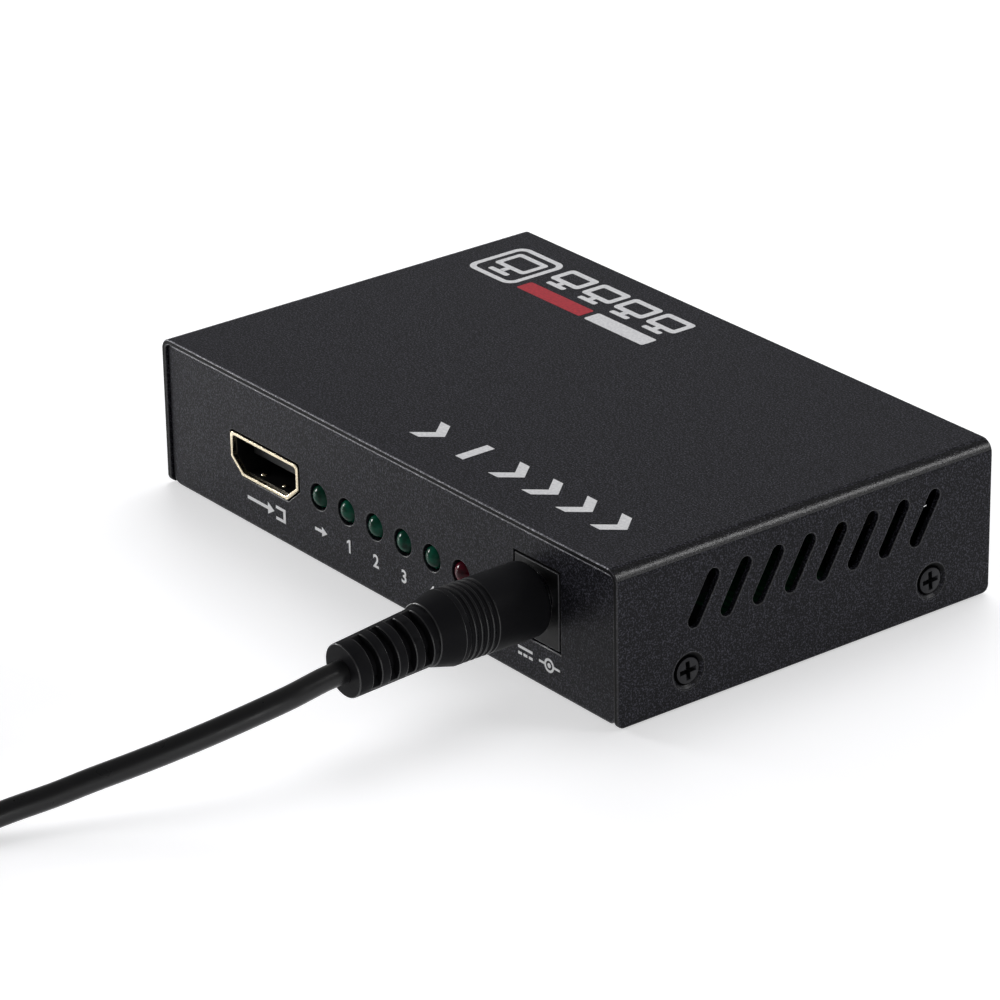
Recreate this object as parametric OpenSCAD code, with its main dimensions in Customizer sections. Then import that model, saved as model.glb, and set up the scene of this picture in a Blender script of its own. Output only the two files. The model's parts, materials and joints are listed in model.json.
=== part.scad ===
// One-to-four video splitter: a folded steel case, its circuit board, and a plug-in power lead.
// Millimetres, +Z up. The origin is the middle of the underside; the front panel faces -Y.

/* [Case] */
// Overall width of the case, side to side
case_w = 100; // [97:0.5:120]
// Depth of the cover, front to back
case_d = 63.6; // [60:0.2:80]
// Overall height of the case
case_h = 22.2; // [20.5:0.1:30]
// Thickness of the folded steel sheet
sheet_t = 0.8; // [0.6:0.05:1]
// Outer radius of the cover's two bends
cover_bend_r = 1.8; // [1.3:0.1:3]
// Outer radius of the base's bends
base_bend_r = 0.9; // [0.9:0.1:2]
// How far the cover's edges stand past the front and rear panels
cover_overhang = 0.4; // [0.1:0.1:1]
// Height of the cover's lower edges above the underside
cover_lift = 0.25; // [0.1:0.05:0.6]
// Clearance between the cover and the base's panels
cover_gap = 0.2; // [0.1:0.05:0.4]
// Radius of the panels' lower corners
panel_corner_r = 2; // [1.5:0.5:4]
// Radius of the lower corners of the cover's sides
cover_corner_r = 1.1; // [0.5:0.1:2]

/* [Vents] */
// Number of vent slots in each side
vent_n = 8; // [4:1:8]
// Spacing of the vent slots
vent_pitch = 5.38; // [4:0.02:5.6]
// Width of a vent slot
vent_w = 2.05; // [1.2:0.05:2.4]
// Length of a vent slot
vent_h = 8.2; // [5:0.1:9]
// Lean of the vent slots from upright
vent_lean = 30.2; // [0:0.2:35]
// Middle of the vent row behind the middle of the case
vent_row_y = 1.2; // [-2:0.1:2]
// Middle of the vent row below the top
vent_drop = 7.75; // [6.5:0.05:9]

/* [Cover screws] */
// Distance between the two screws of a side
side_screw_pitch = 41.5; // [36:0.5:46]
// Middle of a side's screws behind the middle of the case
side_screw_back = 0.6; // [-1:0.1:1]
// Height of the cover screws
side_screw_z = 4.95; // [4.6:0.05:6]
// Diameter of a cover screw's head
side_head_d = 4.7; // [4.5:0.1:5.2]
// Diameter of a cover screw's shank
side_shank_d = 2.5; // [2:0.1:2.6]
// Overall length of a cover screw
side_screw_len = 4; // [3.5:0.1:4.5]
// Depth of a screw head below the cover's face
head_sink = 0.15; // [0.1:0.05:0.4]
// How far a screw dimple stands in from the sheet
dimple_h = 1; // [0.8:0.05:1.3]
// Width of a screw tab
tab_w = 11; // [9:0.5:14]
// Height of a screw tab
tab_h = 8.6; // [8:0.1:10]

/* [Board] */
// Height of the board's upper face
board_z = 6.5; // [6.2:0.05:8]
// Thickness of the circuit board
board_t = 1.6; // [1:0.1:2]
// Clearance between the board's edge and what stands round it
board_gap = 0.35; // [0.2:0.05:0.8]
// Width of a standoff across its flats
standoff_af = 5.5; // [5:0.1:6]
// Distance from the board's side edge to a standoff
standoff_inset = 4; // [3.6:0.1:5]
// Distance between the standoffs, front to back
standoff_pitch_y = 28; // [22:0.5:28]
// Diameter of a board screw's shank
board_shank_d = 2.9; // [2.5:0.1:3]
// Diameter of a board screw's head
board_head_d = 5.4; // [5:0.1:6]
// Height of a board screw's head
board_head_h = 1.9; // [1.5:0.1:2.2]

/* [Video ports] */
// Width of a port's shell
port_w = 15.8; // [15:0.1:16.2]
// Height of a port's shell
port_h = 6; // [5.6:0.1:6.4]
// Wall of a port's shell
port_wall = 0.5; // [0.3:0.05:0.6]
// Length of a port's shell
port_len = 11.4; // [10.5:0.1:12]
// How far a port stands out of its panel
port_proud = 0.15; // [0.1:0.05:0.6]
// Gap between a port and its cut-out
port_gap = 0.2; // [0.15:0.05:0.5]
// Height of a port's shell above the board
port_lift = 0.65; // [0.3:0.05:0.8]
// Input port's distance left of the middle, as a share of the case's width
input_share = 0.2655; // [0.255:0.0005:0.285]
// Spacing of the output ports, as a share of the case's width
output_share = 0.205; // [0.18:0.001:0.21]

/* [Lamps] */
// Diameter of a lamp's lens
lamp_d = 3.5; // [3.2:0.1:3.7]
// Length of a lamp from tip to flange
lamp_len = 5; // [4.4:0.1:5.6]
// Gap between a lamp and its hole
lamp_gap = 0.15; // [0.1:0.05:0.3]
// Spacing of the lamps
lamp_pitch = 6.28; // [5.6:0.02:6.4]
// First lamp's distance right of the input port's middle
lamp_from_port = 12.45; // [12:0.05:14]
// Height of the lamps above the board
lamp_rise = 3.6; // [3:0.1:5]
// How far a lamp's tip stands out of the panel
lamp_proud = 0.5; // [0:0.05:0.6]

/* [Power jack] */
// Width of the jack
jack_w = 9; // [8.8:0.1:9.4]
// Height of the jack
jack_h = 11; // [10.6:0.1:11.4]
// Length of the jack
jack_len = 14.4; // [14:0.1:15]
// Length of the jack's square collar
jack_collar = 3.5; // [3:0.1:4.5]
// Height of the plug hole's axis above the board
jack_axis_rise = 6.5; // [6.3:0.05:6.6]
// Jack's distance right of the middle, as a share of the case's width
jack_share = 0.333; // [0.325:0.001:0.345]
// Gap between the jack and its cut-out
jack_gap = 0.3; // [0.1:0.05:0.4]
// Diameter of the jack's centre pin
pin_d = 2; // [1.9:0.02:2.04]
// Depth of the plug hole
jack_hole_depth = 10.5; // [10:0.1:11]

/* [Barrel plug] */
// Outer diameter of the plug's sleeve
sleeve_d = 5.5; // [5.3:0.05:5.6]
// Bore of the plug's inner contact
plug_bore_d = 2.1; // [2.1:0.02:2.2]
// Length of sleeve that stands out of the grip
sleeve_out = 9.5; // [9:0.1:10]
// Gap between the grip and the jack's face
grip_gap = 1.2; // [0.6:0.1:2]
// Diameter of the grip
grip_d = 10.1; // [9:0.1:12]
// Length of the grip's straight body
grip_len = 13.9; // [12:0.1:18]
// Length of the grip's taper
grip_taper = 3.3; // [2:0.1:5]
// Number of fine grip rings
grip_ring_n = 5; // [3:1:6]
// Spacing of the fine grip rings
grip_ring_pitch = 0.95; // [0.8:0.05:1.2]
// Diameter of the strain relief where it meets the grip
relief_d = 8; // [7:0.1:8.6]
// Diameter of the strain relief's free end
relief_end_d = 7.3; // [6.2:0.1:7.6]
// Length of the strain relief
relief_len = 13.9; // [12:0.1:16]
// Number of slots along the strain relief
slot_n = 4; // [3:1:4]
// Width of a strain relief slot
slot_w = 1.25; // [0.8:0.05:1.4]
// Spacing of the strain relief slots
slot_pitch = 2.65; // [2.4:0.05:2.7]
// Droop of the strain relief under the cord's weight
relief_droop = 4.6; // [3:0.1:6]
// Turn of the slots round the plug's axis
slot_roll = 32; // [0:1:90]

/* [Power cord] */
// Diameter of the cord
cord_d = 3.1; // [2.8:0.05:3.3]
// Radius of the coil's innermost turn
coil_in_r = 13; // [12.5:0.1:14]
// Turns of the coil in each layer
coil_turns = 3; // [2:1:4]
// Spacing of the coil's turns and layers
coil_pitch = 3.6; // [3.55:0.05:4]
// Straight run of cord between the coil and the supply plug
coil_tail = 14; // [12:0.5:18]
// Width of the tie
tie_w = 6; // [4:0.5:7]
// Thickness of the tie
tie_t = 0.5; // [0.3:0.05:0.6]

/* [Supply plug] */
// Width of the supply plug's shell
supply_w = 12; // [11.6:0.1:12.4]
// Height of the supply plug's shell
supply_h = 4.5; // [4.3:0.1:4.7]
// Length of shell that stands out of the grip
supply_out = 13; // [11:0.5:16]
// Sheet of the supply plug's shell
supply_wall = 0.35; // [0.3:0.05:0.4]
// Width of the supply plug's grip
supply_grip_w = 15; // [14:0.1:17]
// Height of the supply plug's grip
supply_grip_h = 9; // [8:0.1:9.6]
// Length of the supply plug's grip
supply_grip_len = 17; // [14:0.5:20]
// Length of the supply plug's strain relief
supply_relief = 8; // [6:0.5:10]

/* [Hidden] */
$fn = 48;
eps = 0.01;
// How far a cutting shape runs past the face that it cuts
over = 1;
// Clearance between pieces that are pressed or soldered together
seat_gap = 0.03;
case_black = "#2f2f32";
plated = "#d8cfb8";
gold = "#c9a24a";
plastic_black = "#161617";
chip_black = "#1b1b1c";
lens_green = "#0f3a26";
lens_red = "#4a0d18";

// Case: outer faces, edges and seats
panel_y = case_d / 2 - cover_overhang;
panel_hw = case_w / 2 - sheet_t - cover_gap;
panel_top = case_h - sheet_t - cover_gap;
panel_top_r = max(cover_bend_r - sheet_t - cover_gap, seat_gap);
tab_x = case_w / 2 - sheet_t - dimple_h - seat_gap;
floor_hw = tab_x - base_bend_r;
tab_relief = 1;
side_screw_y = [for (s = [-1, 1]) side_screw_back + s * side_screw_pitch / 2];
vent_run = vent_h - vent_w;
csk_r = side_head_d / 2 + head_sink + seat_gap;
shank_gap = 0.2;
csk_depth = csk_r - side_shank_d / 2 - shank_gap;
dimple_land = 1.1;
dimple_r = side_shank_d / 2 + dimple_land;
recess_span = 0.54;
recess_depth = 0.8;

// Board and what stands on it
board_hw = case_w / 2 - head_sink - side_screw_len - board_gap;
board_hd = panel_y - sheet_t - board_gap;
board_bottom = board_z - board_t;
standoff_x = board_hw - standoff_inset;
standoff_y = standoff_pitch_y / 2;
standoff_neck_r = standoff_af / 2 - 0.6;
board_shank_reach = 3;
solder_gap = 0.3;
tail_drop = 0.8;

// Video ports: a D outline with a flat top and slanting lower corners
port_z = board_z + port_lift;
port_front = panel_y + port_proud;
port_slant = [2.7, 2.2];
port_foot_hw = port_w / 2 - port_slant[0];
port_round = 0.6;
leg_w = 1.5;
leg_at = [3, 8.5];
leg_lap = 0.5;
leg_top = port_z + port_slant[1] + leg_lap;
leg_low = board_bottom - tail_drop;
tongue_w = 11.4;
tongue_t = 1.3;
tongue_rise = 3.3;
tongue_z = port_z + tongue_rise;
tongue_back = 2.4;
block_len = 3.2;
contact_w = 0.3;
contact_t = 0.15;
contact_pitch = 1;
contact_foot = 0.9;
contact_back = 0.6;
contact_n = [10, 9];
spring_x = 2.5;
spring_back = 1.75;
spring_r = 0.5;
spring_sink = 0.1;
input_x = -input_share * case_w;
output_x = [for (i = [0 : 3]) (1.5 - i) * output_share * case_w];

// Lamps
lamp_z = board_z + lamp_rise;
lamp_x = [for (i = [0 : 5]) input_x + lamp_from_port + i * lamp_pitch];
lamp_flange_out = 0.4;
lamp_flange_r = lamp_d / 2 + lamp_flange_out;
lamp_flange_t = 1;
lamp_lead_w = 0.5;
lamp_lead_pitch = 2.54;
lamp_lead_run = 2;
lamp_back = panel_y + lamp_proud - lamp_len;

// Power jack, with its own axis pointing out of the front panel
jack_x = jack_share * case_w;
jack_axis_z = board_z + jack_axis_rise;
jack_play = 0.35;
jack_wall = 1.1;
jack_hole_r = sleeve_d / 2 + jack_play;
jack_round_r = jack_hole_r + jack_wall;
pin_back = 1;
pin_plate_t = 0.5;
pin_plate_w = 2.4;
leaf_w = 3;
leaf_t = 0.4;
leaf_len = 7.5;
leaf_front = 3.2;
leaf_gap = 0.3;
leaf_leg_w = 2;
leaf_channel = 0.15;
leaf_top = sleeve_d / 2 + leaf_gap;

// Barrel plug, on the jack's axis
grip_r = grip_d / 2;
grip_edge_r = 0.9;
grip_ring_r = 0.3;
grip_ring_back = 1.2;
grip_end = grip_gap + grip_len;
grip_shoulder = 0.2;
taper_end_r = relief_d / 2 + grip_shoulder;
relief_at = grip_end + grip_taper / 2;
relief_core_wall = 1;
relief_core_r = cord_d / 2 + relief_core_wall;
slot_first = 2.6;
web_w = 2.4;
sleeve_in = 6;
sleeve_t = 0.5;
insulator_t = 0.65;
sleeve_r = sleeve_d / 2;
insulator_r = sleeve_r - sleeve_t - seat_gap;
contact_r = insulator_r - insulator_t - seat_gap;

// Cord: where it leaves the strain relief, and which way
cord_out = [
    jack_x,
    -panel_y - relief_at - relief_len * cos(relief_droop),
    jack_axis_z - relief_len * sin(relief_droop)
];
cord_dir = [0, -cos(relief_droop), -sin(relief_droop)];

// Coil: two layers that lie on the tie, wound clockwise from the cord's end
tie_gap = 0.15;
tie_side_gap = 0.3;
tie_inner_gap = 0.7;
tie_corner_r = 1.2;
coil_z = tie_t + tie_gap + cord_d / 2;
coil_out_r = coil_in_r + coil_turns * coil_pitch;
coil_lead = cord_d;
coil_step = [-11.3, -72];
coil_start = [cord_out[0] + coil_step[0], cord_out[1] + coil_step[1]];
coil_mid = [coil_start[0] - coil_out_r, coil_start[1] - coil_lead];
coil_steps = 24;

// Route of the free cord: steps from where it leaves the plug, and heights above the surface
cord_route = [
    [0, -8, 10.9],
    [-0.6, -13, 10],
    [-1.8, -18, 8.8],
    [-3.2, -23, 7.6],
    [-4.8, -28, 6.4],
    [-6.6, -33, 5.2],
    [-8.2, -38, 4],
    [-9.7, -43, 3.1],
    [-10.7, -48, 2.3],
    [-11.2, -53, 1.8],
    [-11.3, -58, 1.6],
    [-11.3, -63, 1.7]
];

// Supply plug, lying beside the coil and pointing to +Y
supply_x = coil_mid[0] - coil_out_r;
supply_y = coil_mid[1] + coil_tail;
supply_z = supply_grip_h / 2;
supply_in = 5;
supply_round = 2;
supply_blade_t = 1.9;
supply_relief_wall = 0.9;
supply_relief_flare = 0.8;
supply_window = [2.4, 2.2];
supply_blade_back = 0.6;
supply_contact_x = [-3.5, -1, 1, 3.5];
supply_contact_w = 1;
supply_contact_at = 3;
supply_contact_back = 2;

// Parts on the board: places and sizes
chip_y = 1;
chip_w = 14;
chip_h = 1.4;
chip_lift = 0.1;
chip_lead_n = 20;
chip_lead_pitch = 0.6;
chip_lead_w = 0.25;
chip_lead_t = 0.15;
chip_lead_out = 1;
regulator_in = 9.3;
regulator_y = -9;
regulator_at = [jack_x - regulator_in, regulator_y];
regulator_body = [6.5, 3.5, 1.6];
regulator_lead_t = 0.3;
regulator_lead_run = 1.8;
regulator_lead_w = 0.7;
regulator_lead_pitch = 2.3;
regulator_tab = 3;
capacitor_in = [19.3, 0.3];
capacitor_y = [-10, -6];
capacitor_at = [for (i = [0, 1]) [jack_x - capacitor_in[i], capacitor_y[i]]];
capacitor_r = 3.15;
capacitor_h = 5.4;
capacitor_foot = 0.9;
crystal_at = [-16, 3];
crystal_body = [11, 4.6, 3.5];
crystal_round = 2.2;
inductor_in = 8.3;
inductor_y = 2;
inductor_at = [jack_x - inductor_in, inductor_y];
inductor_body = [6, 6, 3];
inductor_round = 1;
chip_part_x = -24;
chip_part_y = [-12, 14];
chip_part_n = 8;
chip_part_pitch = 3.4;
chip_part_body = [1.6, 0.8, 0.8];

// Shared shapes

// A flat outline with all four corners rounded
module round_rect(w, h, r) {
    square([w - 2 * r, h], center = true);
    square([w, h - 2 * r], center = true);
    for (sx = [-1, 1], sy = [-1, 1]) translate([sx * (w / 2 - r), sy * (h / 2 - r)]) circle(r);
}

// A quarter of a bent sheet, from the floor up, with its outer corner at the origin
module bend_quarter(r) {
    intersection() {
        square(r);
        translate([r, r]) difference() {
            circle(r);
            circle(r - sheet_t);
        }
    }
}

// What is cut away to round a lower corner at the origin
module corner_cut(r) {
    difference() {
        translate([-eps, -eps]) square(r + eps);
        translate([r, r]) circle(r);
    }
}

// Extrudes a (y, z) outline along X, centred
module along_x(len) {
    rotate([90, 0, 90]) linear_extrude(len, center = true) children();
}

// Extrudes an (x, z) outline from y0 to y1
module along_y(y0, y1) {
    translate([0, y1, 0]) rotate([90, 0, 0]) linear_extrude(y1 - y0) children();
}

// Moves to one cover screw, with Z pointing out of the case's side
module at_side_screws(depth) {
    for (s = [-1, 1], y = side_screw_y)
        translate([s * (case_w / 2 - depth), y, side_screw_z]) rotate([0, s * 90, 0]) children();
}

module at_standoffs(z) {
    for (sx = [-1, 1], sy = [-1, 1]) translate([sx * standoff_x, sy * standoff_y, z]) children();
}

// Moves to the jack's axis, with Z pointing out of the front panel
module on_plug_axis() {
    translate([jack_x, -panel_y, jack_axis_z]) rotate([90, 0, 0]) children();
}

// Moves to the front or rear panel (front is -1), with the panel facing -Y
module at_panel(x, side) {
    translate([x, 0, 0]) rotate([0, 0, side < 0 ? 0 : 180]) children();
}

// A cross recess in a screw's head, cut down from the origin
module cross_recess(span, depth) {
    for (a = [0, 90]) rotate([0, 0, a]) translate([-span / 2, -span / 8, -depth])
        cube([span, span / 4, depth + eps]);
}

// Case

// Outline of the base seen from the side: floor, two bends and two panels
module base_section() {
    for (s = [0, 1]) mirror([s, 0]) {
        translate([-panel_y, 0]) bend_quarter(base_bend_r);
        translate([-panel_y, base_bend_r]) square([sheet_t, panel_top - base_bend_r]);
    }
    translate([base_bend_r - panel_y, 0]) square([2 * (panel_y - base_bend_r), sheet_t]);
}

module screw_tab() {
    along_y(-tab_w / 2, tab_w / 2) {
        translate([tab_x, 0]) mirror([1, 0]) bend_quarter(base_bend_r);
        translate([tab_x - sheet_t, base_bend_r]) square([sheet_t, tab_h - base_bend_r]);
    }
}

// Rounds all corners of both panels and leaves the floor's sides square
module panel_corners() {
    for (sx = [0, 1], sy = [0, 1]) mirror([sx, 0, 0]) mirror([0, sy, 0]) translate([-panel_hw, 0, 0]) {
        along_y(-panel_y - over, base_bend_r - panel_y) corner_cut(panel_corner_r);
        translate([0, 0, panel_top]) mirror([0, 0, 1])
            along_y(-panel_y - over, sheet_t + over - panel_y) corner_cut(panel_top_r);
    }
}

// Frees a tab from the floor beside it
module tab_notch() {
    translate([floor_hw, -tab_w / 2 - tab_relief, -over])
        cube([panel_hw, tab_w + 2 * tab_relief, sheet_t + 2 * over]);
}

module at_tabs() {
    for (s = [0, 1], y = side_screw_y)
        mirror([s, 0, 0]) translate([0, y, 0]) children();
}

module lamp_holes() {
    for (x = lamp_x) translate([x, -panel_y - over, lamp_z]) rotate([-90, 0, 0])
        cylinder(d = lamp_d + 2 * lamp_gap, h = sheet_t + 2 * over);
}

module jack_cut_out() {
    translate([jack_x - jack_w / 2 - jack_gap, -panel_y - over, board_z - jack_gap])
        cube([jack_w + 2 * jack_gap, sheet_t + 2 * over, jack_h + 2 * jack_gap]);
}

module port_cut_out(x, side) {
    at_panel(x, side) along_y(-panel_y - over, sheet_t + over - panel_y) port_outline(port_gap);
}

module base_chassis() {
    color(case_black) difference() {
        union() {
            difference() {
                along_x(2 * panel_hw) base_section();
                panel_corners();
                at_tabs() tab_notch();
            }
            at_tabs() screw_tab();
        }
        port_cut_out(input_x, -1);
        for (x = output_x) port_cut_out(x, 1);
        lamp_holes();
        jack_cut_out();
        at_side_screws(side_screw_len + over)
            cylinder(d = side_shank_d + 2 * seat_gap, h = side_screw_len + over);
        at_standoffs(-over) cylinder(r = standoff_neck_r + seat_gap, h = sheet_t + 2 * over);
    }
}

// Outline of the cover seen from the front; inset 0 is its outside, sheet_t its inside
module cover_outline(inset) {
    r = cover_bend_r - inset;
    hw = case_w / 2 - inset;
    top = case_h - inset;
    low = inset > 0 ? -over : cover_lift;
    translate([-hw, low]) square([2 * hw, top - r - low]);
    translate([r - hw, low]) square([2 * (hw - r), top - low]);
    for (s = [-1, 1]) translate([s * (hw - r), top - r]) circle(r);
}

module vent_slot() {
    rotate(-vent_lean) {
        square([vent_w, vent_run], center = true);
        for (s = [-1, 1]) translate([0, s * vent_run / 2]) circle(d = vent_w);
    }
}

module top_cover() {
    color(case_black) difference() {
        union() {
            along_y(-case_d / 2, case_d / 2) difference() {
                cover_outline(0);
                cover_outline(sheet_t);
            }
            at_side_screws(sheet_t + dimple_h)
                cylinder(r1 = dimple_r, r2 = dimple_r + dimple_h, h = dimple_h + eps);
        }
        along_x(case_w + 2 * over) for (i = [0 : vent_n - 1])
            translate([vent_row_y + (i - (vent_n - 1) / 2) * vent_pitch, case_h - vent_drop]) vent_slot();
        at_side_screws(csk_depth) cylinder(r1 = csk_r - csk_depth, r2 = csk_r + eps, h = csk_depth + eps);
        at_side_screws(side_screw_len) cylinder(r = csk_r - csk_depth, h = side_screw_len);
        along_x(case_w + 2 * over) for (s = [0, 1]) mirror([s, 0])
            translate([-case_d / 2, cover_lift]) corner_cut(cover_corner_r);
    }
}

module cover_screws() {
    head_h = (side_head_d - side_shank_d) / 2;
    color("#3b3b3e") at_side_screws(head_sink) difference() {
        union() {
            translate([0, 0, -head_h]) cylinder(d1 = side_shank_d, d2 = side_head_d, h = head_h);
            translate([0, 0, -side_screw_len]) cylinder(d = side_shank_d, h = side_screw_len - head_h);
        }
        cross_recess(side_head_d * recess_span, head_h * recess_depth);
    }
}

// Board, standoffs and screws

module board_standoffs() {
    hex_r = standoff_af / 2 / cos(30);
    bore_r = board_shank_d / 2 + seat_gap;
    color("silver") at_standoffs(0) difference() {
        union() {
            cylinder(r = standoff_neck_r, h = sheet_t);
            translate([0, 0, sheet_t]) cylinder(r = hex_r, h = board_bottom - sheet_t, $fn = 6);
        }
        translate([0, 0, sheet_t]) cylinder(r = bore_r, h = board_bottom);
    }
}

module leg_slots(x, side) {
    at_panel(x, side) for (s = [-1, 1], y = leg_at)
        translate([s * (port_w - port_wall) / 2, y + leg_w / 2 - port_front, board_z])
            cube([port_wall + solder_gap, leg_w + solder_gap, 3 * board_t], center = true);
}

module circuit_board() {
    color("#1d5a33") difference() {
        translate([-board_hw, -board_hd, board_bottom]) cube([2 * board_hw, 2 * board_hd, board_t]);
        at_standoffs(board_bottom - over) cylinder(d = board_shank_d + solder_gap, h = board_t + 2 * over);
        leg_slots(input_x, -1);
        for (x = output_x) leg_slots(x, 1);
        for (x = lamp_x, s = [-1, 1])
            translate([x + s * lamp_lead_pitch / 2, lamp_lead_run - lamp_back, board_bottom - over])
                cylinder(d = 2 * lamp_lead_w, h = board_t + 2 * over);
        translate([jack_x, jack_len + pin_plate_t / 2 - panel_y, board_z])
            cube([pin_plate_w + solder_gap, pin_plate_t + solder_gap, 3 * board_t], center = true);
        translate([jack_x, leaf_front + leaf_len - leaf_t / 2 - panel_y, board_z])
            cube([leaf_leg_w + solder_gap, leaf_t + solder_gap, 3 * board_t], center = true);
    }
}

module board_screws() {
    shank = board_t + board_shank_reach;
    color("silver") at_standoffs(board_z) difference() {
        union() {
            cylinder(d = board_head_d, h = board_head_h);
            translate([0, 0, -shank]) cylinder(d = board_shank_d, h = shank + eps);
        }
        translate([0, 0, board_head_h])
            cross_recess(board_head_d * recess_span, board_head_h * recess_depth);
    }
}

// Video ports: every one is made facing -Y, then turned to its panel

// Outline of a port's shell, grown or shrunk by g
module port_outline(g) {
    top = port_z + port_h + g;
    hw = port_w / 2 + g;
    slant_z = port_z + port_slant[1] - g / 2;
    translate([-hw, slant_z]) square([2 * hw, top - port_round - slant_z]);
    translate([port_round - hw, top - port_round - eps]) square([2 * (hw - port_round), port_round + eps]);
    for (s = [-1, 1]) translate([s * (hw - port_round), top - port_round]) circle(port_round);
    polygon([
        [-port_foot_hw - g / 2, port_z - g], [port_foot_hw + g / 2, port_z - g],
        [hw, slant_z + eps], [-hw, slant_z + eps]
    ]);
}

module port_shell(x, side) {
    color(plated) at_panel(x, side) {
        difference() {
            along_y(-port_front, port_len - port_front) port_outline(0);
            along_y(-port_front - over, port_len + over - port_front) port_outline(-port_wall);
        }
        for (s = [-1, 1], y = leg_at)
            translate([s * (port_w - port_wall) / 2, y + leg_w / 2 - port_front, (leg_top + leg_low) / 2])
                cube([port_wall, leg_w, leg_top - leg_low], center = true);
        for (s = [-1, 1])
            translate([s * spring_x, spring_back - port_front, port_z + port_wall - spring_sink])
            sphere(spring_r);
    }
}

// Side view of one contact: along the tongue, through the block, down, and a foot on the board
module contact_side(z) {
    tip = tongue_back + contact_back - port_front;
    bend = port_len - port_front;
    foot = bend + contact_foot;
    polygon([
        [tip, z], [bend, z], [bend, board_z], [foot, board_z], [foot, board_z + contact_t],
        [bend + contact_t, board_z + contact_t], [bend + contact_t, z + contact_t], [tip, z + contact_t]
    ]);
}

module contact_row(n, z) {
    for (i = [0 : n - 1]) translate([(i - (n - 1) / 2) * contact_pitch, 0, 0])
        along_x(contact_w) contact_side(z);
}

module port_contacts(x, side) {
    color(gold) at_panel(x, side) {
        contact_row(contact_n[0], tongue_z + tongue_t / 2);
        contact_row(contact_n[1], tongue_z - tongue_t / 2 - contact_t);
    }
}

// Channels through the tongue's block for one row of contacts
module contact_channels(n, y, z) {
    slot = contact_w + 2 * seat_gap;
    for (i = [0 : n - 1]) translate([(i - (n - 1) / 2) * contact_pitch - slot / 2, y, z])
        cube([slot, block_len + 2 * over, contact_t + seat_gap]);
}

module port_tongue(x, side) {
    block_y = port_len - block_len - port_front;
    low = tongue_z - tongue_t / 2;
    color(plastic_black) at_panel(x, side) difference() {
        union() {
            along_y(block_y, port_len - port_front) port_outline(-port_wall - seat_gap);
            translate([-tongue_w / 2, tongue_back - port_front, low])
                cube([tongue_w, port_len - tongue_back - eps, tongue_t]);
        }
        contact_channels(contact_n[0], block_y - over, low + tongue_t);
        contact_channels(contact_n[1], block_y - over, low - contact_t - seat_gap);
    }
}

// Lamps

module lamp(i, lens_colour) {
    color(lens_colour) translate([lamp_x[i], -lamp_back, lamp_z]) rotate([90, 0, 0]) {
        cylinder(r = lamp_flange_r, h = lamp_flange_t);
        cylinder(d = lamp_d, h = lamp_len - lamp_d / 2);
        translate([0, 0, lamp_len - lamp_d / 2]) sphere(d = lamp_d);
    }
}

module lamp_leads() {
    low = board_bottom - tail_drop;
    color("silver") for (x = lamp_x, s = [-1, 1])
        translate([x + s * lamp_lead_pitch / 2, -lamp_back, 0]) along_x(lamp_lead_w) polygon([
            [0, lamp_z - lamp_lead_w / 2], [lamp_lead_run - lamp_lead_w / 2, lamp_z - lamp_lead_w / 2],
            [lamp_lead_run - lamp_lead_w / 2, low], [lamp_lead_run + lamp_lead_w / 2, low],
            [lamp_lead_run + lamp_lead_w / 2, lamp_z + lamp_lead_w / 2], [0, lamp_z + lamp_lead_w / 2]
        ]);
}

// Power jack

// The leaf spring's side view, grown by g for the channel that it lies in
module leaf_side(g) {
    y0 = leaf_front - panel_y;
    z1 = jack_axis_z - leaf_top;
    translate([y0 - g, z1 - leaf_t - g]) square([leaf_len + 2 * g, leaf_t + 2 * g]);
    translate([y0 + leaf_len - leaf_t - g, board_bottom - tail_drop])
        square([leaf_t + 2 * g, z1 - board_bottom + tail_drop - leaf_t / 2]);
}

module power_jack_housing() {
    y0 = -panel_y;
    color(plastic_black) difference() {
        union() {
            translate([jack_x - jack_w / 2, y0, board_z]) cube([jack_w, jack_collar, jack_h]);
            translate([jack_x - jack_round_r, y0, board_z])
                cube([2 * jack_round_r, jack_len, jack_axis_rise]);
            on_plug_axis() translate([0, 0, -jack_len]) cylinder(r = jack_round_r, h = jack_len);
        }
        on_plug_axis() translate([0, 0, -jack_hole_depth])
            cylinder(r = jack_hole_r, h = jack_hole_depth + over);
        on_plug_axis() translate([0, 0, -jack_len - over])
            cylinder(r = pin_d / 2 + seat_gap, h = jack_len);
        translate([jack_x, 0, 0]) along_x(leaf_w + 2 * leaf_channel) leaf_side(leaf_channel);
    }
}

module power_jack_pin() {
    low = board_bottom - tail_drop;
    color("silver") {
        on_plug_axis() translate([0, 0, -jack_len - pin_plate_t / 2])
            cylinder(d = pin_d, h = jack_len + pin_plate_t / 2 - pin_back);
        translate([jack_x - pin_plate_w / 2, jack_len - panel_y, low])
            cube([pin_plate_w, pin_plate_t, jack_axis_z + pin_d - low]);
    }
}

module power_jack_spring() {
    color("silver") {
        translate([jack_x, 0, 0]) intersection() {
            along_x(leaf_w) leaf_side(0);
            union() {
                translate([-leaf_w, -panel_y, jack_axis_z - leaf_top - leaf_t])
                    cube([2 * leaf_w, jack_len, leaf_t]);
                translate([-leaf_leg_w / 2, -panel_y, 0]) cube([leaf_leg_w, jack_len, jack_axis_z]);
            }
        }
    }
}

// Parts on the board

// Side view of one gull-wing lead of the splitter chip
module chip_lead_side() {
    knee = chip_lead_out / 2;
    polygon([
        [0, chip_h / 2], [knee, chip_h / 2], [knee, 0], [chip_lead_out, 0],
        [chip_lead_out, chip_lead_t], [knee + chip_lead_t, chip_lead_t],
        [knee + chip_lead_t, chip_h / 2 + chip_lead_t], [0, chip_h / 2 + chip_lead_t]
    ]);
}

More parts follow.
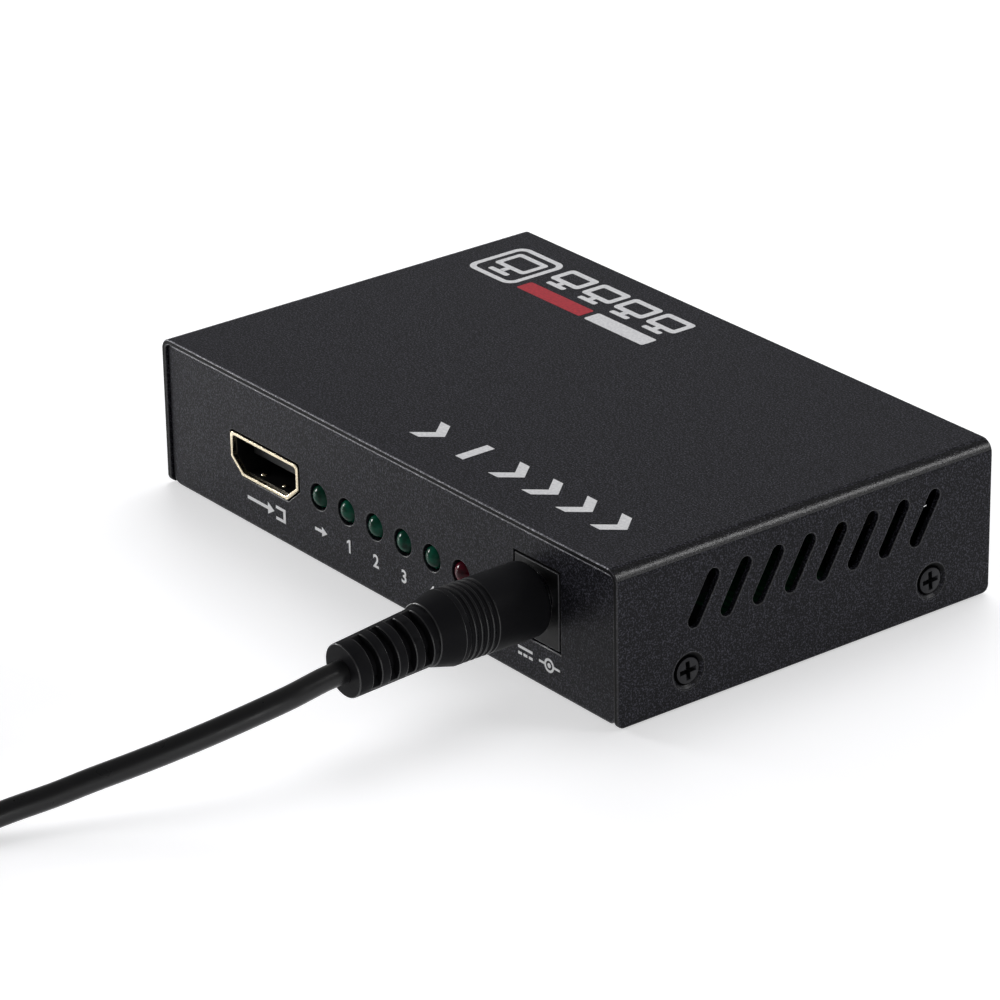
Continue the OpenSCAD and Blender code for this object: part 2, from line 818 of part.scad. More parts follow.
module splitter_chip() {
    color(chip_black) translate([0, chip_y, board_z]) {
        translate([-chip_w / 2, -chip_w / 2, chip_lift]) cube([chip_w, chip_w, chip_h]);
        for (a = [0 : 90 : 270], i = [0 : chip_lead_n - 1]) rotate([0, 0, a])
            translate([(i - (chip_lead_n - 1) / 2) * chip_lead_pitch, chip_w / 2 - eps, 0])
                along_x(chip_lead_w) chip_lead_side();
    }
}

module voltage_regulator() {
    w = regulator_body[0];
    d = regulator_body[1];
    color(chip_black) translate([regulator_at[0], regulator_at[1], board_z]) {
        translate([-w / 2, -d / 2, chip_lift]) cube(regulator_body);
        translate([-regulator_tab / 2, d / 2 - eps, 0])
            cube([regulator_tab, regulator_lead_run, regulator_lead_t]);
        for (i = [-1 : 1])
            translate([i * regulator_lead_pitch, eps - (d + regulator_lead_run) / 2, regulator_lead_t / 2])
                cube([regulator_lead_w, regulator_lead_run, regulator_lead_t], center = true);
    }
}

module filter_capacitors() {
    foot = 2 * capacitor_r;
    color("#c9cbd0") for (p = capacitor_at) translate([p[0], p[1], board_z]) {
        translate([-capacitor_r, -capacitor_r, 0]) cube([foot, foot, capacitor_foot]);
        cylinder(r = capacitor_r, h = capacitor_h);
    }
}

module clock_crystal() {
    color("silver") translate([crystal_at[0], crystal_at[1], board_z])
        linear_extrude(crystal_body[2]) round_rect(crystal_body[0], crystal_body[1], crystal_round);
}

module power_inductor() {
    color("#3a3a3c") translate([inductor_at[0], inductor_at[1], board_z])
        linear_extrude(inductor_body[2]) round_rect(inductor_body[0], inductor_body[1], inductor_round);
}

module chip_parts() {
    color("#b59a74") for (i = [0 : chip_part_n - 1], y = chip_part_y)
        translate([chip_part_x + i * chip_part_pitch, y, board_z]) cube(chip_part_body);
}

// Barrel plug

module plug_sleeve() {
    color("silver") on_plug_axis() translate([0, 0, grip_gap - sleeve_out]) difference() {
        cylinder(r = sleeve_r, h = sleeve_out + sleeve_in);
        translate([0, 0, -over]) cylinder(r = sleeve_r - sleeve_t, h = sleeve_out + sleeve_in + 2 * over);
    }
}

module plug_insulator() {
    color(plastic_black) on_plug_axis() translate([0, 0, grip_gap - sleeve_out]) difference() {
        cylinder(r = insulator_r, h = sleeve_out + sleeve_in);
        translate([0, 0, -over])
            cylinder(r = insulator_r - insulator_t, h = sleeve_out + sleeve_in + 2 * over);
    }
}

module plug_contact() {
    color(gold) on_plug_axis() translate([0, 0, grip_gap - sleeve_out]) difference() {
        cylinder(r = contact_r, h = sleeve_out + sleeve_in);
        translate([0, 0, -over]) cylinder(d = plug_bore_d, h = sleeve_out + 2 * over);
    }
}

// Half outline of the grip: rounded front edge, ringed body, taper
module grip_outline() {
    difference() {
        union() {
            translate([0, grip_gap + grip_edge_r]) square([grip_r, grip_len - grip_edge_r]);
            translate([0, grip_gap]) square([grip_r - grip_edge_r, 2 * grip_edge_r]);
            translate([grip_r - grip_edge_r, grip_gap + grip_edge_r]) circle(grip_edge_r);
            polygon([
                [0, grip_end - eps], [grip_r, grip_end - eps],
                [taper_end_r, grip_end + grip_taper], [0, grip_end + grip_taper]
            ]);
        }
        for (i = [0 : grip_ring_n - 1])
            translate([grip_r + grip_ring_r / 4, grip_end - grip_ring_back - i * grip_ring_pitch])
                circle(grip_ring_r, $fn = 24);
    }
}

// Tapered strain relief with slots on both sides of a middle web
module strain_relief() {
    difference() {
        cylinder(d1 = relief_d, d2 = relief_end_d, h = relief_len);
        rotate([0, 0, slot_roll]) for (i = [0 : slot_n - 1])
            translate([0, 0, slot_first + i * slot_pitch]) difference() {
                cylinder(d = 2 * relief_d, h = slot_w);
                translate([0, 0, -over]) cylinder(r = relief_core_r, h = slot_w + 2 * over);
                cube([web_w, 3 * relief_d, 4 * slot_w], center = true);
            }
    }
}

module plug_grip() {
    color(plastic_black) on_plug_axis() difference() {
        union() {
            rotate_extrude() grip_outline();
            translate([0, 0, relief_at]) rotate([relief_droop, 0, 0]) strain_relief();
        }
        translate([0, 0, grip_gap - over])
            cylinder(r = sleeve_r + seat_gap, h = sleeve_in + over + seat_gap);
    }
}

// Cord and coil

function unit(v) = v / norm(v);
function tangent(path, i) =
    unit(path[min(i + 1, len(path) - 1)] - path[max(i - 1, 0)]);
function ring(at, dir, r, sides) =
    let (side = unit(cross(dir, [0, 0, 1])), up = cross(side, dir))
    [for (k = [0 : sides - 1]) let (a = 360 * (k + 0.5) / sides) at + r * (cos(a) * side + sin(a) * up)];

// A closed tube of triangles along a path
module tube(path, d, sides) {
    n = len(path);
    points = [for (i = [0 : n - 1]) each ring(path[i], tangent(path, i), d / 2, sides)];
    walls = [
        for (i = [0 : n - 2], k = [0 : sides - 1]) let (
            a = i * sides + k,
            b = i * sides + (k + 1) % sides
        ) each [[a, a + sides, b], [b, a + sides, b + sides]]
    ];
    caps = [
        for (k = [1 : sides - 2]) each [
            [0, k, k + 1],
            [(n - 1) * sides, (n - 1) * sides + k + 1, (n - 1) * sides + k]
        ]
    ];
    polyhedron(points, concat(walls, caps), convexity = 10);
}

cord_path = concat(
    [cord_out, cord_out + cord_d * cord_dir],
    [for (p = cord_route) [cord_out[0] + p[0], cord_out[1] + p[1], p[2]]],
    [[coil_start[0], coil_start[1] + cord_d, coil_z], [coil_start[0], coil_start[1], coil_z]]
);

// Half turn in which the spiral reverses and climbs: radius and height for u from 0 to 180 degrees
function climb_r(u) = coil_in_r - coil_pitch / 360 * (u - u * u / 180);
function climb_z(u) = coil_z + coil_pitch * (1 - cos(u)) / 2;

turn_in = 360 * coil_turns;
turn_all = 2 * turn_in + 180;
function coil_r(a) =
    a <= turn_in ? coil_out_r - coil_pitch * a / 360
    : a <= turn_in + 180 ? climb_r(a - turn_in)
    : coil_in_r + coil_pitch * (a - turn_in - 180) / 360;
function coil_height(a) =
    a <= turn_in ? coil_z
    : a <= turn_in + 180 ? climb_z(a - turn_in)
    : coil_z + coil_pitch;
function coil_point(a) = [
    coil_mid[0] + coil_r(a) * cos(a), coil_mid[1] - coil_r(a) * sin(a), coil_height(a)
];

// The tail runs on level over the coil's edge, eases down, and ends level with the supply plug
tail_level = coil_tail - cord_d;
function tail_z(u) = supply_z + (coil_z + coil_pitch - supply_z) * (1 + cos(180 * u)) / 2;
coil_path = concat(
    [[coil_start[0], coil_start[1], coil_z]],
    [for (i = [0 : turn_all / 360 * coil_steps]) coil_point(i * 360 / coil_steps)],
    [for (u = [0.2 : 0.2 : 1]) [supply_x, coil_mid[1] + u * tail_level, tail_z(u)]],
    [[supply_x, supply_y, supply_z]]
);

// Least gap of the coil to itself, between points more than half a turn apart
coil_gap = min([
    for (i = [0 : len(coil_path) - 1], j = [i + coil_steps / 2 : 1 : len(coil_path) - 1])
        norm(coil_path[i] - coil_path[j])
]) - cord_d;
function path_len(path, i = 0) =
    i + 1 >= len(path) ? 0 : norm(path[i + 1] - path[i]) + path_len(path, i + 1);
echo(coil_gap = coil_gap, lead_length = path_len(cord_path) + path_len(coil_path));

module power_cord() {
    color(plastic_black) tube(cord_path, cord_d, 8);
}

module power_cord_coil() {
    color(plastic_black) tube(coil_path, cord_d, 6);
}

// A band round all the turns, across the coil on its side towards the case
module cord_tie() {
    in_r = coil_r(turn_in - 90) - cord_d / 2 - tie_inner_gap;
    out_r = coil_r(270) + cord_d / 2 + tie_side_gap;
    high = coil_z + coil_pitch + cord_d / 2 + tie_side_gap;
    mid = [coil_mid[1] + (in_r + out_r) / 2, (tie_t + high) / 2];
    color("#202022") translate([coil_mid[0], 0, 0]) along_x(tie_w) translate(mid) difference() {
        round_rect(out_r - in_r + 2 * tie_t, high + tie_t, tie_corner_r + tie_t);
        round_rect(out_r - in_r, high - tie_t, tie_corner_r);
    }
}

// Supply plug: a flat plug that lies on the surface, its shell pointing to +Y

module on_supply(y) {
    translate([supply_x, supply_y + y, supply_z]) rotate([-90, 0, 0]) children();
}

module supply_plug_grip() {
    relief_r = cord_d / 2 + supply_relief_wall;
    color(plastic_black) difference() {
        union() {
            on_supply(0)
                cylinder(r1 = relief_r, r2 = relief_r + supply_relief_flare, h = supply_relief + eps);
            on_supply(supply_relief) linear_extrude(supply_grip_len)
                round_rect(supply_grip_w, supply_grip_h, supply_round);
        }
        on_supply(supply_relief + supply_grip_len - supply_in - seat_gap) linear_extrude(supply_in + over)
            square([supply_w + 2 * seat_gap, supply_h + 2 * seat_gap], center = true);
    }
}

module supply_plug_shell() {
    color("silver") on_supply(supply_relief + supply_grip_len - supply_in) difference() {
        linear_extrude(supply_in + supply_out) square([supply_w, supply_h], center = true);
        translate([0, 0, -over]) linear_extrude(supply_in + supply_out + 2 * over)
            square([supply_w - 2 * supply_wall, supply_h - 2 * supply_wall], center = true);
        for (s = [-1, 1])
            translate([s * supply_w / 4 - supply_window[0] / 2, -supply_h, supply_in + supply_out / 2])
                cube([supply_window[0], 2 * supply_h, supply_window[1]]);
    }
}

module supply_plug_insulator() {
    w = supply_w - 2 * supply_wall - 2 * seat_gap;
    low = supply_h / 2 - supply_wall - seat_gap;
    color("#e8e8e4") on_supply(supply_relief + supply_grip_len - supply_in)
        translate([-w / 2, low - supply_blade_t, 0])
            cube([w, supply_blade_t, supply_in + supply_out - supply_blade_back]);
}

module supply_plug_contacts() {
    low = supply_h / 2 - supply_wall - seat_gap - supply_blade_t;
    len = supply_out - supply_contact_at - supply_contact_back;
    color(gold) on_supply(supply_relief + supply_grip_len) for (x = supply_contact_x)
        translate([x - supply_contact_w / 2, low - contact_t, supply_contact_at])
            cube([supply_contact_w, contact_t, len]);
}

base_chassis();
top_cover();
cover_screws();
board_standoffs();
circuit_board();
board_screws();
port_shell(input_x, -1);  // input_port_shell
port_tongue(input_x, -1);  // input_port_tongue
port_contacts(input_x, -1);  // input_port_contacts
port_shell(output_x[0], 1);  // output_port_1_shell
port_tongue(output_x[0], 1);  // output_port_1_tongue
port_contacts(output_x[0], 1);  // output_port_1_contacts
port_shell(output_x[1], 1);  // output_port_2_shell
port_tongue(output_x[1], 1);  // output_port_2_tongue
port_contacts(output_x[1], 1);  // output_port_2_contacts
port_shell(output_x[2], 1);  // output_port_3_shell
port_tongue(output_x[2], 1);  // output_port_3_tongue
port_contacts(output_x[2], 1);  // output_port_3_contacts
port_shell(output_x[3], 1);  // output_port_4_shell
port_tongue(output_x[3], 1);  // output_port_4_tongue
port_contacts(output_x[3], 1);  // output_port_4_contacts
lamp(0, lens_green);  // input_lamp
lamp(1, lens_green);  // output_lamp_1
lamp(2, lens_green);  // output_lamp_2
lamp(3, lens_green);  // output_lamp_3
lamp(4, lens_green);  // output_lamp_4
lamp(5, lens_red);  // power_lamp
lamp_leads();
power_jack_housing();
power_jack_pin();
power_jack_spring();
splitter_chip();
voltage_regulator();
filter_capacitors();
clock_crystal();
power_inductor();
chip_parts();
plug_sleeve();
plug_insulator();
plug_contact();
plug_grip();
power_cord();
power_cord_coil();
cord_tie();
supply_plug_shell();
supply_plug_insulator();
supply_plug_contacts();
supply_plug_grip();
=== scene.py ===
"""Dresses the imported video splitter: materials, printed marks, screws, lamps, cord, studio and camera."""

import json
import logging
import math
from collections.abc import Callable
from dataclasses import dataclass
from enum import Enum, IntEnum

import bmesh
import bpy
from bpy.types import ID, Curve, Material, Mesh, Node, NodeSocket, NodeTree, Object
from mathutils import Matrix, Vector

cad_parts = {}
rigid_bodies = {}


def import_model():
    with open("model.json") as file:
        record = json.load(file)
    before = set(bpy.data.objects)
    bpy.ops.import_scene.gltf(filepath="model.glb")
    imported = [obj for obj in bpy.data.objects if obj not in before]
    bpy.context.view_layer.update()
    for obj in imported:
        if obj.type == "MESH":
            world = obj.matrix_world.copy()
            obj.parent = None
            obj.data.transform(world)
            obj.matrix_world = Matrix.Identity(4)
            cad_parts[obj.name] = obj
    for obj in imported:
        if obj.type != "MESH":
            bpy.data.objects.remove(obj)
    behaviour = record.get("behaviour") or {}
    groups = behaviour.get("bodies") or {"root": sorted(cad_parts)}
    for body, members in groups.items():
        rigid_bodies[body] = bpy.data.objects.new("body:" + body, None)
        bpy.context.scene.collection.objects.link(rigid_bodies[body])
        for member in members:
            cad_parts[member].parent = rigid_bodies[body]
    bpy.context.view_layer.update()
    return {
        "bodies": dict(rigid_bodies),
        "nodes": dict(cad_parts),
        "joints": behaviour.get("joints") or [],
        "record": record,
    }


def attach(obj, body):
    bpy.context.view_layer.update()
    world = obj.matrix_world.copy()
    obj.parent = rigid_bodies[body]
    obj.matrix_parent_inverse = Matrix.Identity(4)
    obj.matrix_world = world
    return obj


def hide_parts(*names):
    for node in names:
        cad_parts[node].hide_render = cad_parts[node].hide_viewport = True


LOG = logging.getLogger("splitter")
MM = 0.001
Point = tuple[float, float, float]
Span = tuple[float, float]
Outline = list[tuple[float, float]]
Nodes = dict[str, Object]
Test = Callable[[Vector], bool]

# Places along the panels, in millimetres from the case's middle
INPUT_X = -26.55
OUTPUT_X = 30.75
OUTPUT_PITCH = 20.5
LAMP_X = -14.1
LAMP_PITCH = 6.28
POWER_LAMP_X = 17.3

# Angles between faces: below the first they are one face, above the second they make a hard edge
FLAT_ANGLE = math.radians(0.8)
HARD_ANGLE = math.radians(28)


class Body(Enum):
    """The bodies that pieces ride on."""

    CASE = "case"
    LEAD = "power_lead"


class Slot(Enum):
    """The record's material slots."""

    COAT = "case_coat"
    SCREW = "black_screw"
    STEEL = "steel"
    SHELL = "plated_shell"
    GOLD = "gold_contact"
    PLASTIC = "black_plastic"
    WHITE = "white_plastic"
    GREEN = "green_lens"
    RED = "red_lens"
    VINYL = "black_vinyl"
    TIE = "tie_fabric"


class Side(Enum):
    """The panel that a port faces out of, as a sign along Y."""

    FRONT = -1
    REAR = 1


class Skin(IntEnum):
    """The numbers by which the faces of the cover and the base know their finishes."""

    FLAT = 0
    EDGE = 1
    # Cut ends, painted near-black as shade
    CUT = 2
    # Brims at the top's ends, painted pale as highlights
    BRIM = 3
    # Bends of the top, painted darker as a dark reflection
    BEND = 4


# Small helpers


def mm(x: float, y: float, z: float) -> Vector:
    """A point given in millimetres, in metres."""
    return Vector((x, y, z)) * MM


def polar(radius: float, degrees: float) -> tuple[float, float]:
    """A point at a distance and an angle from the origin."""
    turn = math.radians(degrees)
    return radius * math.cos(turn), radius * math.sin(turn)


def box_of(points: list[Vector]) -> tuple[Vector, ...]:
    """The lowest and the highest corner of the box round some points."""
    return tuple(Vector([pick(p[k] for p in points) for k in range(3)]) for pick in (min, max))


def linear(hex_colour: str) -> tuple[float, ...]:
    """Turns an sRGB hex colour into linear RGBA with an alpha of 1."""
    parts = [int(hex_colour[i : i + 2], 16) / 255 for i in (1, 3, 5)]
    return (*(p / 12.92 if p <= 0.04045 else ((p + 0.055) / 1.055) ** 2.4 for p in parts), 1.0)


def stand(name: str, data: ID) -> Object:
    """Makes an object of some data and links it to the scene.

    Args:
        name: the object's name.
        data: its data.

    Returns:
        The object.
    """
    thing = bpy.data.objects.new(name, data)
    bpy.context.scene.collection.objects.link(thing)
    return thing


def empty_tree(owner: ID) -> NodeTree:
    """The node tree of a material or the world, cleared.

    Args:
        owner: the material or the world.

    Returns:
        The tree.
    """
    owner.use_nodes = True
    owner.node_tree.nodes.clear()
    return owner.node_tree


def add_node(
    tree: NodeTree, kind: str, settings: dict[str, object] | None = None,
    inputs: dict[str | int, object] | None = None,
) -> Node:
    """Adds a node to a tree, with its settings and links.

    Args:
        tree: the node tree.
        kind: the node's type name.
        settings: properties of the node itself.
        inputs: values or output sockets for its inputs, by name or by number.

    Returns:
        The new node.
    """
    node = tree.nodes.new(kind)
    for key, value in (settings or {}).items():
        setattr(node, key, value)
    for key, value in (inputs or {}).items():
        if isinstance(value, NodeSocket):
            tree.links.new(value, node.inputs[key])
        else:
            node.inputs[key].default_value = value
    return node


def spread(tree: NodeTree, value: NodeSocket, span: Span, ends: Span = (0.0, 1.0)) -> NodeSocket:
    """Maps a span of values onto other ends, and gives the socket of the result."""
    values = {"Value": value, "From Min": span[0], "From Max": span[1], "To Min": ends[0], "To Max": ends[1]}
    return add_node(tree, "ShaderNodeMapRange", inputs=values).outputs["Result"]


# Finishes

# The heights between which a cloudy pattern has most of its spots
CLOUD_SPAN = (0.3, 0.7)
# The length of one wave of the wave pattern at a scale of 1
WAVE_LENGTH = 6.28


@dataclass(frozen=True)
class Finish:
    """A surface on one Principled shader: its colour and gloss, and a grain whose spots have a real size.

    The grain can shift the colour between two tones and stand out of the surface by a depth. Clouds can
    shift the roughness, down by one share and up by another.
    """

    name: str
    colour: str
    roughness: float
    metallic: float = 0.0
    specular: float = 0.5
    grain_mm: float = 1.0
    stretch: Point = (1, 1, 1)
    detail: float = 2.0
    tones: tuple[str, str] | None = None
    tone_span: Span = CLOUD_SPAN
    depth_mm: float = 0.0
    relief: float = 0.0
    cloud_mm: float = 0.0
    cloud_gloss: Span = (0.0, 0.0)

    def make(self) -> Material:
        """Makes the material, or finds it where it was made before.

        Returns:
            The material.
        """
        found = bpy.data.materials.get(self.name)
        if found is not None:
            return found
        material = bpy.data.materials.new(self.name)
        material.diffuse_color = linear(self.colour)
        tree = empty_tree(material)
        values = {
            "Base Color": linear(self.colour), "Roughness": self.roughness, "Metallic": self.metallic,
            "Specular IOR Level": self.specular,
        }
        shader = add_node(tree, "ShaderNodeBsdfPrincipled", inputs=values)
        add_node(tree, "ShaderNodeOutputMaterial", inputs={"Surface": shader.outputs["BSDF"]})
        height = self.grain(tree, shader)
        if self.tones:
            low, high = (linear(tone) for tone in self.tones)
            values = {0: spread(tree, height, self.tone_span), 6: low, 7: high}
            mix = add_node(tree, "ShaderNodeMix", {"data_type": "RGBA"}, values)
            tree.links.new(mix.outputs[2], shader.inputs["Base Color"])
        if self.depth_mm:
            values = {"Strength": self.relief, "Distance": self.depth_mm * MM, "Height": height}
            bump = add_node(tree, "ShaderNodeBump", inputs=values)
            tree.links.new(bump.outputs["Normal"], shader.inputs["Normal"])
        if self.cloud_mm:
            ends = self.roughness - self.cloud_gloss[0], self.roughness + self.cloud_gloss[1]
            rough = spread(tree, self.cloudy(tree, self.cloud_mm), CLOUD_SPAN, ends)
            tree.links.new(rough, shader.inputs["Roughness"])
        return material

    def grain(self, tree: NodeTree, shader: Node) -> NodeSocket:
        """Adds the grain, cloudy unless a finish has its own, and gives its height."""
        return self.cloudy(tree, self.grain_mm, self.stretch, self.detail)

    def cloudy(
        self, tree: NodeTree, size_mm: float, stretch: Point = (1, 1, 1), detail: float = 2.0
    ) -> NodeSocket:
        """Adds a cloudy pattern.

        Args:
            tree: the material's tree.
            size_mm: the size of a spot.
            stretch: how much longer a spot is along each axis.
            detail: how many finer layers the pattern has.

        Returns:
            The socket of its height.
        """
        place = add_node(tree, "ShaderNodeTexCoord").outputs["Object"]
        scale = tuple(1 / (size_mm * MM * s) for s in stretch)
        mapping = add_node(tree, "ShaderNodeMapping", inputs={"Vector": place, "Scale": scale})
        values = {"Vector": mapping.outputs["Vector"], "Scale": 1.0, "Detail": detail, "Roughness": 0.55}
        return add_node(tree, "ShaderNodeTexNoise", inputs=values).outputs["Fac"]


@dataclass(frozen=True)
class PowderCoat(Finish):
    """Polyester powder, sprayed and baked on steel: pebbles, with pale specks in the colour that are painted
    glints on the pebbles, drawn coarser to show.
    """

    grain_mm: float = 0.22
    tones: tuple[str, str] = ("#0e0e12", "#4c4c55")
    tone_span: Span = (0.5, 0.7)
    depth_mm: float = 0.05
    relief: float = 0.8


@dataclass(frozen=True)
class Moulded(Finish):
    """Injection-moulded thermoplastic: the fine grain of an eroded mould, with a faint change of gloss."""

    grain_mm: float = 0.2
    depth_mm: float = 0.02
    relief: float = 0.7
    cloud_mm: float = 2.5
    cloud_gloss: Span = (0.06, 0.06)


@dataclass(frozen=True)
class Plated(Finish):
    """Drawn or stamped metal with a thin plating: faint lines of the die along one axis, and cloudy gloss."""

    grain_mm: float = 0.12
    stretch: Point = (1, 14, 1)
    tones: tuple[str, str] = ("#cdbf9f", "#ece2cb")
    depth_mm: float = 0.004
    relief: float = 0.5
    cloud_mm: float = 1.6
    cloud_gloss: Span = (0.06, 0.1)


@dataclass(frozen=True)
class TintedEpoxy(Finish):
    """Cast epoxy of an unlit lamp: a slow change from dark to tinted under a smooth skin."""

    grain_mm: float = 1.6
    tone_span: Span = (0.35, 0.65)


@dataclass(frozen=True)
class ScreenInk(Finish):
    """Screen-printed ink on powder coat: an opaque film, mottled where it is thin on the pebbles."""

    grain_mm: float = 0.42
    detail: float = 3.0
    depth_mm: float = 0.05
    relief: float = 0.5


@dataclass(frozen=True)
class SolderMask(Finish):
    """Green solder mask over copper tracks on a glass-fibre board."""

    grain_mm: float = 1.3
    tracks: tuple[str, str] = ("#0f4a2a", "#155a35")
    bare: str = "#0b3a20"
    depth_mm: float = 0.03
    relief: float = 0.6

    def grain(self, tree: NodeTree, shader: Node) -> NodeSocket:
        """Adds tracks as bands of a brick pattern, a little lighter and higher than the bare board.

        Args:
            tree: the material's tree.
            shader: its shader.

        Returns:
            The socket of the gaps between tracks.
        """
        values = {
            "Vector": add_node(tree, "ShaderNodeTexCoord").outputs["Object"],
            "Color1": linear(self.tracks[0]), "Color2": linear(self.tracks[1]), "Mortar": linear(self.bare),
            "Scale": 1 / (self.grain_mm * MM * 4), "Mortar Size": 0.06,
        }
        bricks = add_node(tree, "ShaderNodeTexBrick", {"offset": 0.37}, values)
        tree.links.new(bricks.outputs["Color"], shader.inputs["Base Color"])
        return bricks.outputs["Fac"]


@dataclass(frozen=True)
class WovenNylon(Finish):
    """Woven nylon of a hook-and-loop tie: crossing ribs with a dull sheen."""

    grain_mm: float = 0.45
    tones: tuple[str, str] = ("#0b0b0c", "#2a2a2d")
    tone_span: Span = (0.1, 0.8)
    depth_mm: float = 0.12
    relief: float = 0.8

    def grain(self, tree: NodeTree, shader: Node) -> NodeSocket:
        """Adds the weave as two crossing sets of waves.

        Args:
            tree: the material's tree.
            shader: its shader.

        Returns:
            The socket of the weave's height.
        """
        place = add_node(tree, "ShaderNodeTexCoord").outputs["Object"]
        values = {"Vector": place, "Scale": 1 / (self.grain_mm * MM * WAVE_LENGTH), "Distortion": 0.4}
        along, across = (
            add_node(tree, "ShaderNodeTexWave", {"bands_direction": way}, values).outputs["Fac"]
            for way in ("X", "DIAGONAL")
        )
        return add_node(tree, "ShaderNodeMath", {"operation": "MULTIPLY"}, {0: along, 1: across}).outputs[0]


# Baked powder on the sheets: black, pebbled and dull, with pale specks that are painted glints on its pebbles
COAT = PowderCoat("powder_coated_steel", "#19191c", 0.4, specular=0.1)
# Powder over a rounded edge, glossy enough to draw a thin grey line
COAT_EDGE = PowderCoat(
    "powder_coat_over_edges", "#1d1d20", 0.32, specular=0.4, tones=("#0f0f12", "#46464e")
)
# Powder over the top's bends, painted darker than the flat coat as a painted dark reflection, and glossy
# enough for one bright streak
COAT_BEND_PAINTED_DARK = PowderCoat(
    "powder_coat_painted_dark_on_bends", "#0f0f11", 0.27, specular=0.7, tones=("#08080a", "#323238")
)
# Powder on the brims painted pale: painted highlights along the top's ends
COAT_BRIM_PAINTED_HIGHLIGHT = PowderCoat(
    "powder_coat_painted_highlight_on_brims", "#66666d", 0.3, specular=0.6, tones=("#404046", "#b8b8c2")
)
# Powder on the sheets' cut ends, painted near-black as painted shade, so that they read as gaps
COAT_CUT_PAINTED_SHADE = PowderCoat(
    "powder_coat_painted_shade_on_cut_edges", "#0b0b0c", 0.5, specular=0.1, tones=("#080809", "#121214")
)
# Black oxide on screws: a dark grey sheen with faint lines
SCREW_BLACK = Plated(
    "black_oxide_screw", "#18181a", 0.36, metallic=0.6, stretch=(6, 1, 1), tones=("#111113", "#29292d")
)
# The heads' sloping rims, painted dull black as the shade in the recess round each head
SCREW_RIM_PAINTED_SHADE = Moulded("screw_rim_painted_shade", "#060607", 0.7, specular=0.0)
# Tinned steel: bright cool grey
STEEL = Plated("tinned_steel", "#b9bbbf", 0.3, metallic=1.0, tones=("#a3a6ab", "#c9cbcf"))
# Pale gold plating: the warm bright frame of each port
SHELL = Plated("pale_gold_plating", "#d9ccaa", 0.24, metallic=1.0)
# The shell's sides behind the ports' rims, painted dark and matt as painted shade, so that they stay dark in
# the cut-outs
SHELL_BACK_PAINTED_SHADE = Moulded("shell_back_painted_shade", "#232220", 0.8, specular=0.0)
# Gold on contacts: small deep yellow glints
GOLD = Plated("gold_plated_contact", "#c99a3c", 0.25, metallic=1.0, tones=("#b98a2e", "#dcb45c"))
# Black nylon of the jack and the ports' tongues: dark and half dull
PLASTIC = Moulded("moulded_black_nylon", "#0e0e0f", 0.45, specular=0.2)
# The nylon's rounded edges, painted lighter grey than the nylon as a painted highlight line
PLASTIC_EDGE_PAINTED_HIGHLIGHT = Moulded("moulded_nylon_painted_edge_highlight", "#343437", 0.3, specular=0.5)
# White nylon inside the supply plug: pale and even
WHITE = Moulded("moulded_white_nylon", "#dcdcd6", 0.45)
# Epoxy bodies on the board: flat dark grey, a little sandy
CHIP = Moulded("epoxy_chip_body", "#1a1a1b", 0.6, grain_mm=0.12)
# Green epoxy of unlit lamps: bottle green under a wet highlight
GREEN = TintedEpoxy("green_cast_epoxy", "#06503c", 0.11, specular=0.11, tones=("#06251a", "#06503c"))
# Red epoxy of an unlit lamp: wine red under a wet highlight
RED = TintedEpoxy("red_cast_epoxy", "#6a1026", 0.11, specular=0.11, tones=("#2e0610", "#6a1026"))
# Solder mask: satin green with lighter tracks
BOARD = SolderMask("green_solder_mask", "#0a3019", 0.35)
# Drawn aluminium: a bright can with upright lines
CAN = Plated(
    "drawn_aluminium_can", "#c8cace", 0.28, metallic=1.0, stretch=(1, 1, 20), tones=("#b4b7bc", "#d8dade")
)
# Shrink sleeve of capacitors: satin, nearly black
SLEEVE = Moulded("dark_shrink_sleeve", "#131318", 0.4, specular=0.2)
# Fired ceramic of the small parts: matt tan
CERAMIC = Moulded("fired_ceramic", "#a98f66", 0.5, grain_mm=0.08)
# Soft vinyl of the grips: black and matt
VINYL = Moulded("soft_black_vinyl", "#161618", 0.5, specular=0.05, grain_mm=0.3)
# Smooth vinyl of the cord: black with a long soft streak
CORD_VINYL = Moulded("glossy_black_vinyl", "#1b1b1c", 0.32, specular=0.3, grain_mm=0.4, depth_mm=0.015)
# The grip's rounded edges, which draw its ribs in grey
VINYL_EDGE = Moulded("soft_vinyl_over_edges", "#19191b", 0.28, specular=0.5, grain_mm=0.3, depth_mm=0.015)
# White ink of the panels' signs: opaque and faintly mottled, whiter than on the top to make up for the
# panels' dimmer light, which is painted light
INK = ScreenInk("white_screen_ink", "#fafafa", 0.5, tones=("#ececee", "#fafafa"))
# The same ink on the top's signs, painted greyer than on the panels: painted shade
TOP_INK_PAINTED_GREYER = ScreenInk("screen_ink_painted_greyer_on_top", "#dededf", 0.5, tones=("#c4c4c8", "#dededf"))
# Red ink of the top's bar: a flat mid red
RED_INK = ScreenInk("red_screen_ink", "#b52433", 0.5, tones=("#8e1b28", "#b52433"))
# Woven nylon of the tie: dull black ribs
TIE = WovenNylon("woven_nylon_tie", "#19191b", 0.75)


# Mesh tools


